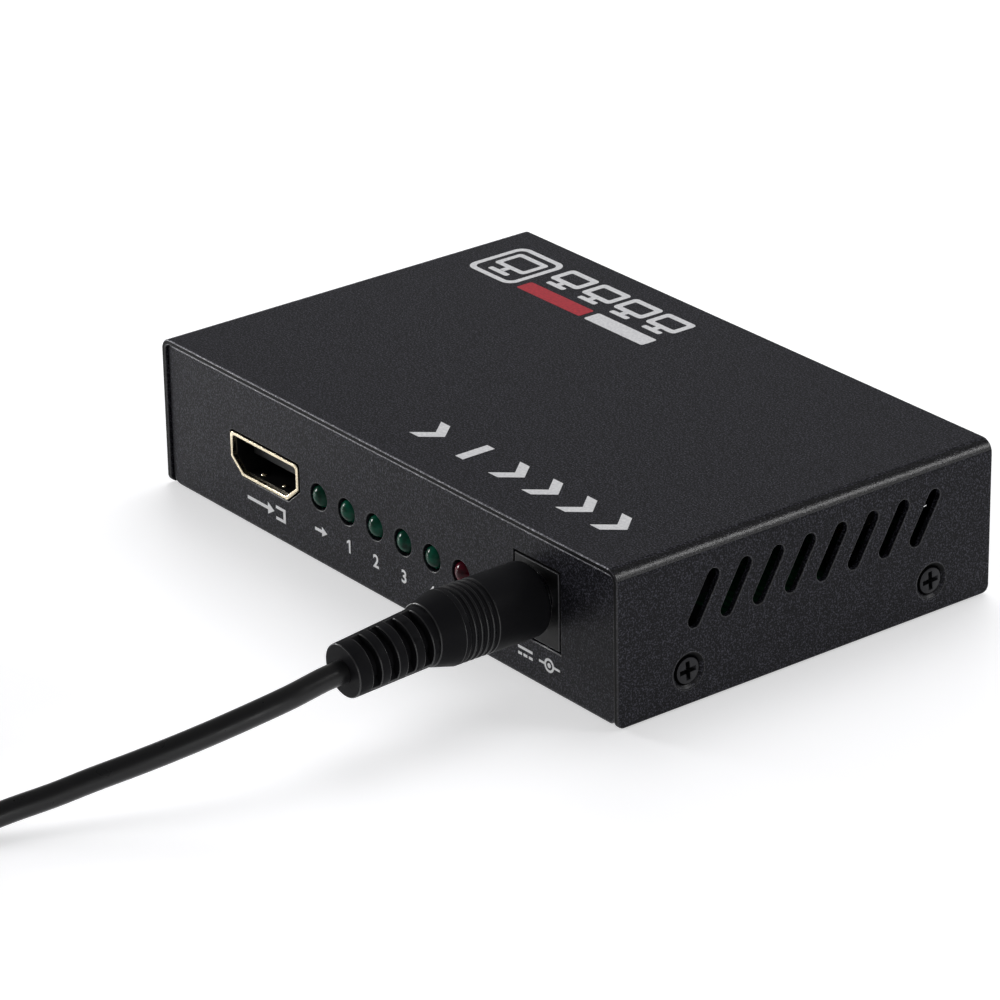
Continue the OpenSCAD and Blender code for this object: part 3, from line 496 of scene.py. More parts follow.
def add_piece(
    name: str, mesh: Mesh, finishes: tuple[Finish, ...], body: Body, slot: Slot, *nodes: str
) -> Object:
    """Stands a mesh in the scene as a piece that rides on a body.

    Args:
        name: the piece's name.
        mesh: its mesh.
        finishes: its finishes, in the order of its faces' numbers.
        body: the body that it moves with.
        slot: the record's slot of its finish; not used.
        nodes: the CAD nodes that it replaces, if any.

    Returns:
        The piece.
    """
    for i, finish in enumerate(finishes):
        if i == len(mesh.materials):
            mesh.materials.append(None)
        mesh.materials[i] = finish.make()
    piece = stand(name, mesh)
    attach(piece, body.value)
    if nodes:
        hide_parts(*nodes)
    LOG.info("piece %s on %s", piece.name, body.value)
    return piece


def smooth(mesh: Mesh, angle: float = 40.0) -> None:
    """Shades a mesh smooth, apart from edges sharper than an angle in degrees."""
    mesh.shade_smooth()
    mesh.set_sharp_from_angle(angle=math.radians(angle))


def plain_mesh(holder: Object) -> Mesh:
    """Evaluates an object and its modifiers into a plain mesh, and removes the object.

    Args:
        holder: the object.

    Returns:
        The mesh.
    """
    bpy.context.view_layer.update()
    evaluated = holder.evaluated_get(bpy.context.evaluated_depsgraph_get())
    mesh = bpy.data.meshes.new_from_object(evaluated)
    holder.modifiers.clear()
    bpy.data.objects.remove(holder)
    return mesh


@dataclass(frozen=True)
class Eased:
    """A copy of a CAD node whose hard edges are rounded, or only those whose middles pass a test."""

    node: str
    edge_mm: float
    segments: int = 2
    outside: Test | None = None

    def mesh(self, nodes: Nodes) -> Mesh:
        """Copies the node's mesh and rounds its hard outer edges.

        Args:
            nodes: the frame's nodes.

        Returns:
            The mesh, its rounded edges numbered as such.
        """
        bm = bmesh.new()
        bm.from_mesh(nodes[self.node].data)
        bmesh.ops.remove_doubles(bm, verts=bm.verts, dist=1e-6)
        bmesh.ops.dissolve_limit(
            bm, angle_limit=FLAT_ANGLE, verts=bm.verts, edges=bm.edges, use_dissolve_boundaries=False
        )
        outer = [e for e in bm.edges if e.is_manifold and e.is_convex]
        hard = [e for e in outer if e.calc_face_angle(0.0) > HARD_ANGLE]
        if self.outside is not None:
            hard = [e for e in hard if self.outside((e.verts[0].co + e.verts[1].co) / 2)]
        bmesh.ops.bevel(
            bm, geom=hard, offset=self.edge_mm * MM, segments=self.segments, profile=0.5, affect="EDGES",
            clamp_overlap=False, material=Skin.EDGE,
        )
        low, high = box_of([Vector(c) for c in nodes[self.node].bound_box])
        for vert in bm.verts:
            vert.co = [min(max(v, a), b) for v, a, b in zip(vert.co, low, high)]
        mesh = bpy.data.meshes.new(self.node + "_soft")
        for _ in (Skin.FLAT, Skin.EDGE):
            mesh.materials.append(None)
        bm.to_mesh(mesh)
        bm.free()
        smooth(mesh)
        holder = stand(self.node + "_soft", mesh)
        holder.modifiers.new("even_faces", "WEIGHTED_NORMAL").keep_sharp = True
        return plain_mesh(holder)

    def build(self, nodes: Nodes, body: Body, slot: Slot, *finishes: Finish) -> Object:
        """Stands the copy in for the node, with finishes for its flat faces and its rounded edges."""
        return add_piece(self.node + "_eased", self.mesh(nodes), finishes, body, slot, self.node)


def lathe(profile: Outline, steps: int = 48) -> Mesh:
    """Turns a profile round the Z axis into a closed mesh.

    Args:
        profile: radius and height of each point in millimetres, from the top's middle to the bottom's.
        steps: the number of faces round the axis.

    Returns:
        The new mesh.
    """
    bm = bmesh.new()
    rings: list[list[bmesh.types.BMVert]] = []
    for radius, height in profile:
        around = [polar(radius, 360 * k / steps) for k in range(steps)] if radius else [(0, 0)]
        rings.append([bm.verts.new(mm(x, y, height)) for x, y in around])
    for above, below in zip(rings, rings[1:]):
        for k in range(steps):
            n = (k + 1) % steps
            if len(above) == 1:
                bm.faces.new((above[0], below[k], below[n]))
            elif len(below) == 1:
                bm.faces.new((above[k], below[0], above[n]))
            else:
                bm.faces.new((above[k], below[k], below[n], above[n]))
    bmesh.ops.recalc_face_normals(bm, faces=bm.faces)
    mesh = bpy.data.meshes.new("lathe")
    bm.to_mesh(mesh)
    bm.free()
    return mesh


def draw(curve: Curve, points: list[Vector], closed: bool) -> None:
    """Draws a line through points into a curve.

    Args:
        curve: the curve.
        points: the points.
        closed: whether the line comes back.
    """
    spline = curve.splines.new("POLY")
    spline.points.add(len(points) - 1)
    for point, place in zip(spline.points, points):
        point.co = (*place, 1)
    spline.use_cyclic_u = closed


def plate(outline: Outline, thick: float, *holes: Outline) -> Mesh:
    """Makes a closed flat plate, in millimetres, from an outline and any holes in its own XY plane.

    Args:
        outline: the outline.
        thick: the thickness.
        holes: the outlines of holes.

    Returns:
        The mesh.
    """
    curve = bpy.data.curves.new("plate", "CURVE")
    curve.dimensions = "2D"
    curve.fill_mode = "BOTH"
    curve.extrude = thick * MM / 2
    for ring in (outline, *holes):
        draw(curve, [mm(x, y, 0) for x, y in ring], closed=True)
    mesh = plain_mesh(stand("plate", curve))
    mesh.transform(Matrix.Translation(mm(0, 0, thick / 2)))
    return mesh


def merged(name: str, meshes: list[Mesh]) -> Mesh:
    """Joins several meshes into one and removes them.

    Args:
        name: the new mesh's name.
        meshes: the meshes.

    Returns:
        The new mesh.
    """
    bm = bmesh.new()
    for mesh in meshes:
        bm.from_mesh(mesh)
        bpy.data.meshes.remove(mesh)
    bmesh.ops.remove_doubles(bm, verts=bm.verts, dist=1e-7)
    joined = bpy.data.meshes.new(name)
    bm.to_mesh(joined)
    bm.free()
    return joined


def grown(tree: NodeTree, data: ID, values: dict[str, object]) -> Mesh:
    """Runs a Geometry Nodes tree on a mesh or a curve and returns the plain result.

    Args:
        tree: the tree.
        data: the mesh or curve that it starts from.
        values: the tree's inputs by name.

    Returns:
        The new mesh.
    """
    holder = stand("grown", data)
    modifier = holder.modifiers.new("grown", "NODES")
    modifier.node_group = tree
    for item in tree.interface.items_tree:
        if item.name in values:
            modifier[item.identifier] = values[item.name]
    return plain_mesh(holder)


def start_tree(name: str, inputs: dict[str, str]) -> tuple[NodeTree, Node]:
    """Starts a Geometry Nodes tree with named inputs, a material among them, and one geometry output.

    Args:
        name: the tree's name.
        inputs: the kind of each input between the geometry and the material.

    Returns:
        The tree and its input node.
    """
    tree = bpy.data.node_groups.new(name, "GeometryNodeTree")
    for label, kind in {"Geometry": "Geometry", **inputs, "Material": "Material"}.items():
        tree.interface.new_socket(label, in_out="INPUT", socket_type="NodeSocket" + kind)
    tree.interface.new_socket("Geometry", in_out="OUTPUT", socket_type="NodeSocketGeometry")
    return tree, add_node(tree, "NodeGroupInput")


def end_tree(tree: NodeTree, given: Node, shape: NodeSocket) -> NodeTree:
    """Ends a tree: makes its copies real, gives them the material and puts them out.

    Args:
        tree: the tree.
        given: its input node.
        shape: the socket of its shape.

    Returns:
        The tree.
    """
    real = add_node(tree, "GeometryNodeRealizeInstances", inputs={"Geometry": shape}).outputs["Geometry"]
    values = {"Geometry": real, "Material": given.outputs["Material"]}
    painted = add_node(tree, "GeometryNodeSetMaterial", inputs=values)
    add_node(tree, "NodeGroupOutput", inputs={"Geometry": painted.outputs["Geometry"]})
    return tree


def row_tree() -> NodeTree:
    """The tree that repeats a piece in a straight row.

    Returns:
        The tree.
    """
    kinds = {"Piece": "Object", "Count": "Int", "Start": "Vector", "Step": "Vector", "Turn": "Vector"}
    tree, given = start_tree("straight_row", kinds)
    piece, count, start, step, turn = (given.outputs[name] for name in kinds)
    values = {"Count": count, "Start Location": start, "Offset": step}
    line = add_node(tree, "GeometryNodeMeshLine", {"mode": "OFFSET"}, values)
    values = {
        "Points": line.outputs["Mesh"],
        "Instance": add_node(tree, "GeometryNodeObjectInfo", inputs={"Object": piece}).outputs["Geometry"],
        "Rotation": add_node(tree, "FunctionNodeEulerToRotation", inputs={"Euler": turn}).outputs["Rotation"],
    }
    copies = add_node(tree, "GeometryNodeInstanceOnPoints", inputs=values)
    return end_tree(tree, given, copies.outputs["Instances"])


def sweep_tree() -> NodeTree:
    """The tree that draws a round jacket along a path.

    Returns:
        The tree.
    """
    tree, given = start_tree("round_jacket", {"Radius": "Float", "Sides": "Int"})
    values = {"Resolution": given.outputs["Sides"], "Radius": given.outputs["Radius"]}
    ring = add_node(tree, "GeometryNodeCurvePrimitiveCircle", {"mode": "RADIUS"}, values).outputs["Curve"]
    values = {"Curve": given.outputs["Geometry"], "Profile Curve": ring, "Fill Caps": True}
    tube = add_node(tree, "GeometryNodeCurveToMesh", inputs=values)
    return end_tree(tree, given, tube.outputs["Mesh"])


# Camera and studio


@dataclass
class Camera:
    """The photograph's viewpoint, in degrees, millimetres and pixels of a 1000-pixel frame."""

    azimuth: float = 52.487
    elevation: float = 24.48
    roll: float = -0.997
    place: Point = (475.726, -376.657, 281.835)
    focal_px: float = 4890.017
    frame_px: float = 1000.0
    sensor_mm: float = 36.0
    reach_m: Span = (0.01, 50.0)

    def build(self) -> None:
        """Makes the camera and sets it as the scene's own."""
        a, e, r = (math.radians(v) for v in (self.azimuth, self.elevation, self.roll))
        back = Vector((math.sin(a) * math.cos(e), -math.cos(a) * math.cos(e), math.sin(e)))
        right = Vector((math.cos(a), math.sin(a), 0))
        up = back.cross(right)
        across = math.cos(r) * right + math.sin(r) * up
        upward = -math.sin(r) * right + math.cos(r) * up
        data = bpy.data.cameras.new("camera")
        data.sensor_width = self.sensor_mm
        data.lens = self.focal_px / self.frame_px * self.sensor_mm
        data.clip_start, data.clip_end = self.reach_m
        camera = stand("camera", data)
        turn = Matrix((across, upward, back)).transposed().to_4x4()
        camera.matrix_world = Matrix.Translation(mm(*self.place)) @ turn
        bpy.context.scene.camera = camera


@dataclass
class Lamp:
    """A soft square studio lamp, in metres and watts, which gloss shows unless it isn't mirrored."""

    name: str
    place: Point
    size: float
    power: float
    aim: Point = (0, 0, 0.01)
    mirrored: bool = True

    def build(self) -> None:
        """Makes the lamp and points it at its aim."""
        data = bpy.data.lights.new(self.name, "AREA")
        data.shape = "SQUARE"
        data.size = self.size
        data.energy = self.power
        lamp = stand(self.name, data)
        lamp.visible_glossy = self.mirrored
        lamp.location = self.place
        lamp.rotation_mode = "QUATERNION"
        lamp.rotation_quaternion = (Vector(self.aim) - Vector(self.place)).to_track_quat("-Z", "Y")


@dataclass
class Studio:
    """A pale glossy table in a white room, with soft lamps."""

    floor_m: float = 8.0
    floor_drop_m: float = 0.00003
    floor_lift: float = 0.5
    wall_light: float = 0.44
    ceiling_light: float = 0.12
    wall_to_ceiling: Span = (0.42, 0.62)

    def build(self) -> None:
        """Makes the floor, the room's light and the lamps."""
        bpy.context.scene.view_settings.view_transform = "Standard"
        self.build_floor()
        self.build_room()
        for lamp in (
            Lamp("left_softbox", (-1.05, -0.5, 0.28), 0.25, 7.0),
            Lamp("overhead_softbox", (-0.35, 0.5, 1.0), 1.0, 9.0, mirrored=False),
            Lamp("right_softbox", (0.7, 0.63, 0.64), 0.3, 1.8),
            Lamp("low_right_softbox", (1.2, -0.05, 0.2), 0.34, 1.3, aim=(0, -0.05, 0.02)),
        ):
            lamp.build()

    def build_floor(self) -> None:
        """Makes the floor, which shows white to the camera and keeps the object's shadow."""
        half, low = self.floor_m / 2, -self.floor_drop_m
        corners = [(x * half, y * half, low) for x, y in ((-1, -1), (1, -1), (1, 1), (-1, 1))]
        mesh = bpy.data.meshes.new("floor")
        mesh.from_pydata(corners, [], [(0, 1, 2, 3)])
        floor = stand("floor", mesh)
        # White lacquer on the table: pale, with a soft mirror image of what stands on it
        material = bpy.data.materials.new("white_table")
        tree = empty_tree(material)
        values = {"Base Color": linear("#dedee1"), "Roughness": 0.4, "Specular IOR Level": 0.4}
        surface = add_node(tree, "ShaderNodeBsdfPrincipled", inputs=values)
        path = add_node(tree, "ShaderNodeLightPath").outputs
        seen = path["Is Camera Ray"]
        for ray in ("Is Glossy Ray", "Is Transmission Ray"):
            either = {0: seen, 1: path[ray]}
            seen = add_node(tree, "ShaderNodeMath", {"operation": "MAXIMUM"}, either).outputs[0]
        values = {0: seen, 1: self.floor_lift}
        share = add_node(tree, "ShaderNodeMath", {"operation": "MULTIPLY"}, values).outputs[0]
        lift = add_node(tree, "ShaderNodeEmission", inputs={"Strength": share})
        both = add_node(tree, "ShaderNodeAddShader", inputs={0: surface.outputs[0], 1: lift.outputs[0]})
        add_node(tree, "ShaderNodeOutputMaterial", inputs={"Surface": both.outputs[0]})
        mesh.materials.append(material)

    def build_room(self) -> None:
        """Makes the room's plain soft light: pale walls under a dim ceiling."""
        world = bpy.data.worlds.new("room")
        bpy.context.scene.world = world
        tree = empty_tree(world)
        way = add_node(tree, "ShaderNodeTexCoord").outputs["Generated"]
        height = add_node(tree, "ShaderNodeSeparateXYZ", inputs={0: way}).outputs["Z"]
        level = spread(tree, height, self.wall_to_ceiling, (self.wall_light, self.ceiling_light))
        light = add_node(tree, "ShaderNodeBackground", inputs={"Color": (1, 1, 1, 1), "Strength": level})
        add_node(tree, "ShaderNodeOutputWorld", inputs={"Surface": light.outputs[0]})


# Power lead


@dataclass
class PowerLead:
    """The cord from the barrel plug to the supply plug: free run, coil and tail, in millimetres."""

    cord_d: float = 3.1
    out: Point = (33.3, -62.005, 11.885)
    droop: float = 4.6
    coil_step: Span = (-11.3, -72.0)
    coil_z: float = 2.2
    coil_in_r: float = 13.0
    coil_turns: int = 3
    coil_pitch: float = 3.6
    coil_tail: float = 14.0
    coil_steps: int = 48
    tail_steps: int = 10
    supply_z: float = 4.5
    sides: int = 20
    free_run: tuple[Point, ...] = (
        (0, -8, 10.9), (-0.6, -13, 10), (-1.8, -18, 8.8), (-3.2, -23, 7.6), (-4.8, -28, 6.4),
        (-6.6, -33, 5.2), (-8.2, -38, 4), (-9.7, -43, 3.1), (-10.7, -48, 2.3), (-11.2, -53, 1.8),
        (-11.3, -58, 1.6), (-11.3, -63, 1.7),
    )

    def coil_start(self) -> Vector:
        """The point where the coil starts, in millimetres."""
        return Vector((self.out[0] + self.coil_step[0], self.out[1] + self.coil_step[1], self.coil_z))

    def coil_point(self, angle: float) -> Vector:
        """A point of the coil: in along the lower layer, up half a turn, out along the upper one.

        Args:
            angle: degrees from the coil's start.

        Returns:
            The point in millimetres.
        """
        inward = 360.0 * self.coil_turns
        out_r = self.coil_in_r + self.coil_turns * self.coil_pitch
        rise = min(max(angle - inward, 0.0), 180.0)
        height = self.coil_pitch * (1 - math.cos(math.radians(rise))) / 2
        if angle <= inward:
            radius = out_r - self.coil_pitch * angle / 360
        elif angle <= inward + 180:
            radius = self.coil_in_r - self.coil_pitch / 360 * (rise - rise * rise / 180)
        else:
            radius = self.coil_in_r + self.coil_pitch * (angle - inward - 180) / 360
        x, y = polar(radius, angle)
        return self.coil_start() + Vector((x - out_r, -self.cord_d - y, height))

    def route(self) -> list[Vector]:
        """The cord's centre line from the plug to the supply plug, in metres.

        Returns:
            The line's points.
        """
        out, start = Vector(self.out), self.coil_start()
        forth, down = polar(self.cord_d, self.droop)
        knots = [out, out + Vector((0, -forth, -down))]
        knots += [Vector((out[0] + x, out[1] + y, z)) for x, y, z in self.free_run]
        knots += [start + Vector((0, self.cord_d, 0)), start]
        line = self.eased(knots)
        total = 720 * self.coil_turns + 180
        count = total * self.coil_steps // 360
        line += [self.coil_point(total * i / count) for i in range(count + 1)]
        end = line[-1]
        level, drop = self.coil_tail - self.cord_d, end[2] - self.supply_z
        for i in range(1, self.tail_steps + 1):
            share = i / self.tail_steps
            height = self.supply_z + drop * (1 + math.cos(math.pi * share)) / 2
            line.append(Vector((end[0], end[1] + level * share, height)))
        line.append(Vector((end[0], end[1] + self.coil_tail, self.supply_z)))
        return [p * MM for p in line]

    def eased(self, knots: list[Vector], between: int = 4) -> list[Vector]:
        """Draws a smooth line through the knots.

        Args:
            knots: the points that it passes.
            between: the number of steps between two knots.

        Returns:
            The line's points, the last knot included.
        """
        ends = [2 * knots[0] - knots[1], *knots, 2 * knots[-1] - knots[-2]]
        line = []
        for a, b, c, d in zip(ends, ends[1:], ends[2:], ends[3:]):
            slope, bow, twist = c - a, 2 * a - 5 * b + 4 * c - d, 3 * b - a - 3 * c + d
            for i in range(between):
                t = i / between
                line.append(0.5 * (2 * b + slope * t + bow * t * t + twist * t**3))
        return [*line, knots[-1]]

    def build(self, nodes: Nodes) -> None:
        """Args:
            nodes: the frame's nodes.
        """
        line = self.route()
        curve = bpy.data.curves.new("cord_line", "CURVE")
        curve.dimensions = "3D"
        draw(curve, line, closed=False)
        values = {"Radius": self.cord_d / 2 * MM, "Sides": self.sides, "Material": CORD_VINYL.make()}
        mesh = grown(sweep_tree(), curve, values)
        smooth(mesh, 60)
        stands_for = "power_cord", "power_cord_coil"
        cord = add_piece("power_cord_jacket", mesh, (CORD_VINYL,), Body.LEAD, Slot.VINYL, *stands_for)
        on_cord = [
            Eased(node, edge).build(nodes, Body.LEAD, slot, finish, finish)
            for node, finish, slot, edge in (
                ("cord_tie", TIE, Slot.TIE, 0.2),
                ("supply_plug_shell", STEEL, Slot.STEEL, 0.08),
                ("supply_plug_insulator", WHITE, Slot.WHITE, 0.1),
                ("supply_plug_contacts", GOLD, Slot.GOLD, 0.04),
                ("supply_plug_grip", VINYL, Slot.VINYL, 0.3),
            )
        ]


# Case


@dataclass
class Case:
    """The folded cover and base with their screws, in millimetres."""

    half_w: float = 50.0
    panel_y: float = 31.4
    top_z: float = 22.2
    skin: float = 0.3
    edge_mm: float = 0.16
    cut_y: float = 31.7
    brim_y: float = 31.2
    brim_z: float = 21.0
    bend_w: float = 3.0
    sill_z: float = 1.5
    screw_y: float = -20.15
    screw_pitch: float = 41.5
    screw_z: float = 4.95
    screw_len: float = 4.0
    tip: float = 0.3
    head_sink: float = 0.15
    head_r: float = 2.35
    face_r: float = 1.8
    face_edge: Span = (0.08, 0.04)
    shank_r: float = 1.25
    dimple_r: float = 2.85
    dimple_deep: float = 2.0
    recess_turn: float = 4.0

    def build(self, nodes: Nodes) -> None:
        """Makes the cover, the base and the cover's screws.

        Args:
            nodes: the frame's nodes.
        """
        for node in ("top_cover", "base_chassis"):
            copy = Eased(node, self.edge_mm, 3, self.outside)
            self.finish_faces(copy.build(nodes, Body.CASE, Slot.COAT, COAT, COAT_EDGE).data)
        screw, tree, rows = stand("screw", self.screw()), row_tree(), []
        for side in (-1, 1):
            values = {
                "Piece": screw, "Count": 2, "Step": mm(0, self.screw_pitch, 0),
                "Start": mm(side * (self.half_w - self.head_sink), self.screw_y, self.screw_z),
                "Turn": Vector((0, side * math.radians(90), 0)), "Material": SCREW_BLACK.make(),
            }
            rows.append(grown(tree, bpy.data.meshes.new("seed"), values))
        bpy.data.objects.remove(screw)
        mesh = merged("cover_screws_set", rows)
        smooth(mesh, 35)
        finishes = SCREW_BLACK, SCREW_RIM_PAINTED_SHADE
        add_piece("cover_screws_set", mesh, finishes, Body.CASE, Slot.SCREW, "cover_screws")
        # Faces beyond the head's flat face, apart from flat ones, take the black rim: painted shade
        for face in mesh.polygons:
            face.material_index = int(self.off_axis(face.center) > self.face_r and not self.flat(face))

    def outside(self, place: Vector) -> bool:
        """Tells whether a place is on the case's outer skin, where the rear cut-outs stay sharp.

        Args:
            place: the place in metres.

        Returns:
            True on the skin.
        """
        x, y, z = place / MM
        if y > 0 and abs(x) < self.half_w - self.bend_w and self.sill_z < z < self.brim_z:
            return False
        on_end = abs(x) > self.half_w - self.skin or abs(y) > self.panel_y - self.skin
        return on_end or not self.skin < z < self.top_z - self.skin

    def flat(self, face: bpy.types.MeshPolygon) -> bool:
        """Tells whether a face looks straight out of the case's side."""
        return abs(face.normal.x) >= 0.95

    def off_axis(self, place: Vector) -> float:
        """A place's distance from the axis of the nearest cover screw, in millimetres."""
        half = self.screw_pitch / 2
        return math.hypot(abs(place.y / MM - self.screw_y - half) - half, place.z / MM - self.screw_z)

    def finish_faces(self, mesh: Mesh) -> None:
        """Gives the screws' dimples, the cut ends, the brims beside them and the bends their finishes, which
        paint light and shade: dark lower dimple walls and cut ends, pale brims, darker bends.

        Args:
            mesh: the cover's or the base's mesh, its flat faces and rounded edges told apart.
        """
        for finish in (COAT_CUT_PAINTED_SHADE, COAT_BRIM_PAINTED_HIGHLIGHT, COAT_BEND_PAINTED_DARK):
            mesh.materials.append(finish.make())
        for face in mesh.polygons:
            across, along, upward = (abs(v) for v in face.normal)
            x, y, z = (abs(v) / MM for v in face.center)
            in_dimple = x > self.half_w - self.dimple_deep and self.off_axis(face.center) < self.dimple_r
            rounded = face.material_index == Skin.EDGE
            # Dimple walls facing up take the glossier edge coat; walls facing down take the near-black cut
            # coat as painted shade
            if in_dimple and not self.flat(face):
                lit, dim = face.normal.z > 0.4, face.normal.z < -0.2
                face.material_index = Skin.EDGE if lit else Skin.CUT if dim else Skin.FLAT
            # End faces of the sheets beyond the panels take the near-black cut coat: painted shade
            elif along > 0.99 and y > self.cut_y:
                face.material_index = Skin.CUT
            # Rounded brims at the top's ends take the pale brim coat: painted highlight
            elif rounded and y > self.brim_y and z > self.brim_z and across < 0.2:
                face.material_index = Skin.BRIM
            # The top's bends take the darker bend coat: a painted dark reflection
            elif not rounded and min(across, upward) > 0.3 and x > self.half_w - self.bend_w:
                face.material_index = Skin.BEND

    def screw(self) -> Mesh:
        """One countersunk cross-recess screw, its head's face at z 0.

        Returns:
            The screw's mesh.
        """
        cone, rim = self.head_r - self.shank_r, (self.head_r - self.face_r) / 2
        profile = [
            (0, 0), (self.face_r - self.face_edge[0], 0), (self.face_r, -self.face_edge[1]),
            (self.head_r - rim, -rim), (self.shank_r, -cone), (self.shank_r, self.tip - self.screw_len),
            (self.shank_r - self.tip, -self.screw_len), (0, -self.screw_len),
        ]
        body = stand("screw", lathe(profile))
        wings = [stand("wing", self.wing(self.recess_turn + turn)) for turn in (0, 90)]
        for cutter in wings:
            carve = body.modifiers.new("carve", "BOOLEAN")
            carve.object, carve.operation, carve.solver = cutter, "DIFFERENCE", "EXACT"
        mesh = plain_mesh(body)
        for cutter in wings:
            bpy.data.objects.remove(cutter)
        return mesh

    def wing(self, turn: float) -> Mesh:
        """One tapered wing of the cross that cuts a screw's recess.

        Args:
            turn: the angle in degrees.

        Returns:
            The wing's mesh.
        """
        mouth, bottom = (1.45, 0.36, 0.2), (0.75, 0.2, -1.0)
        corners = ((-1, -1), (1, -1), (1, 1), (-1, 1))
        points = [mm(x * w, y * h, z) for w, h, z in (mouth, bottom) for x, y in corners]
        sides = [(i, 4 + i, 4 + (i + 1) % 4, (i + 1) % 4) for i in range(4)]
        mesh = bpy.data.meshes.new("wing")
        mesh.from_pydata(points, [], [(0, 1, 2, 3), (7, 6, 5, 4), *sides])
        mesh.transform(Matrix.Rotation(math.radians(turn), 4, "Z"))
        return mesh


# Video ports


@dataclass
class VideoPort:
    """A video port: a drawn shell, a moulded tongue in a thin black liner that darkens the shell's inside as
    painted shade, and gold contacts, in millimetres.
    """

    name: str
    x: float
    side: Side
    mouth_y: float = 31.55
    low: float = 7.15
    wide: float = 15.8
    high: float = 6.0
    wall: float = 0.5
    slant: Span = (2.7, 2.2)
    corner_r: float = 0.6
    rim_deep: float = 0.5
    shell_edge: float = 0.12
    tongue_edge: float = 0.08
    liner_in: float = 0.7
    liner_deep: float = 7.4
    liner_gap: float = 0.03
    liner_t: float = 0.12

    def outline(self, grow: float) -> Outline:
        """The port's outline, grown or shrunk.

        Args:
            grow: the distance outward, in millimetres.

        Returns:
            Corners in the panel's plane, from the port's middle line and the case's underside.
        """
        half, top = self.wide / 2 + grow, self.low + self.high + grow
        foot, knee = half - self.slant[0] - grow / 2, self.low + self.slant[1] - grow / 2
        bends = [polar(self.corner_r, 15 * k) for k in range(7)]
        corner = [(half - self.corner_r + x, top - self.corner_r + z) for x, z in bends]
        right = [(foot, self.low - grow), (half, knee), *corner]
        return right + [(-x, z) for x, z in reversed(right)]

    def build(self, nodes: Nodes) -> None:
        """Makes the shell, and the tongue with its liner.

        Args:
            nodes: the frame's nodes.
        """
        shell_name, tongue_name = self.name + "_shell", self.name + "_tongue"
        shell = Eased(shell_name, self.shell_edge, 3).build(nodes, Body.CASE, Slot.SHELL, SHELL, SHELL)
        # The shell's outer faces behind the rim take the dark matt back: painted shade
        shell.data.materials.append(SHELL_BACK_PAINTED_SHADE.make())
        back = len(shell.data.materials) - 1
        middle = mm(self.x, 0, self.low + self.high / 2)
        for face in shell.data.polygons:
            behind = abs(face.center.y) < (self.mouth_y - self.rim_deep) * MM
            if behind and (face.center - middle).dot(face.normal * Vector((1, 0, 1))) > 0:
                face.material_index = back
        # The black liner inside the shell paints the shade of the port's inside
        inset = self.wall + self.liner_gap
        liner = plate(self.outline(-inset), self.liner_deep, self.outline(-inset - self.liner_t))
        liner.transform(Matrix.Rotation(math.radians(90), 4, "X"))
        start = self.mouth_y - self.liner_in
        shift = start if self.side is Side.REAR else self.liner_deep - start
        liner.transform(Matrix.Translation(mm(self.x, shift, 0)))
        moulded = tongue_name + "_moulded"
        mesh = merged(moulded, [Eased(tongue_name, self.tongue_edge).mesh(nodes), liner])
        smooth(mesh)
        add_piece(moulded, mesh, (PLASTIC, PLASTIC), Body.CASE, Slot.PLASTIC, tongue_name)


# Indicator lamps


@dataclass
class IndicatorLamp:
    """An unlit lamp behind its hole in the front panel: a cast lens with a flange, in millimetres."""

    name: str
    x: float
    finish: Finish
    slot: Slot
    back_y: float = -26.9
    z: float = 10.1
    lens_r: float = 1.75
    flange_r: float = 2.15
    flange_t: float = 1.0
    fillet: float = 0.1
    length: float = 5.0

    def build(self) -> None:
        """Makes the lens in place of its CAD node."""
        middle = self.length - self.lens_r
        dome = [polar(self.lens_r, 90 - 6 * k) for k in range(1, 16)]
        profile = [
            (0, self.length), *((r, middle + z) for r, z in dome),
            (self.lens_r, self.flange_t + self.fillet), (self.lens_r + self.fillet, self.flange_t),
            (self.flange_r, self.flange_t), (self.flange_r, 0), (0, 0),
        ]
        mesh = lathe(profile)
        mesh.transform(Matrix.Rotation(math.radians(90), 4, "X"))
        mesh.transform(Matrix.Translation(mm(self.x, self.back_y, self.z)))
        smooth(mesh, 50)
        add_piece(self.name + "_lens", mesh, (self.finish,), Body.CASE, self.slot, self.name)


# Jack and barrel plug


@dataclass
class BarrelPlug:
    """The jack's housing and the plug's grip and sleeve, with rounded edges, in millimetres."""

    housing_edge: float = 0.15
    grip_edge: float = 0.14
    sleeve_edge: float = 0.1

    def build(self, nodes: Nodes) -> None:
        """Makes the housing, the grip and the sleeve.

        Args:
            nodes: the frame's nodes.
        """
        # The housing's rounded edges take the lighter edge nylon: painted highlight
        housing = Eased("power_jack_housing", self.housing_edge)
        housing.build(nodes, Body.CASE, Slot.PLASTIC, PLASTIC, PLASTIC_EDGE_PAINTED_HIGHLIGHT)
        Eased("plug_grip", self.grip_edge, 3).build(nodes, Body.LEAD, Slot.VINYL, VINYL, VINYL_EDGE)
        Eased("plug_sleeve", self.sleeve_edge).build(nodes, Body.LEAD, Slot.STEEL, STEEL, STEEL)


# Printed marks


def block(x0: float, y0: float, x1: float, y1: float, corner: float = 0.0) -> Outline:
    """The outline of a rectangle between two corners, its own corners rounded.

    Args:
        x0: the left side.
        y0: the lower side.
        x1: the right side.
        y1: the upper side.
        corner: the radius of its corners.

    Returns:
        The outline.
    """
    if corner == 0:
        return [(x0, y0), (x1, y0), (x1, y1), (x0, y1)]
    left, right, low, high = x0 + corner, x1 - corner, y0 + corner, y1 - corner
    middles = ((right, high, 0), (left, high, 90), (left, low, 180), (right, low, 270))
    bends = [(x, y, polar(corner, start + t)) for x, y, start in middles for t in range(0, 91, 15)]
    return [(x + dx, y + dy) for x, y, (dx, dy) in bends]


def disc(x: float, y: float, radius: float) -> Outline:
    """The outline of a round spot."""
    return [(x + dx, y + dy) for dx, dy in (polar(radius, t) for t in range(0, 360, 12))]


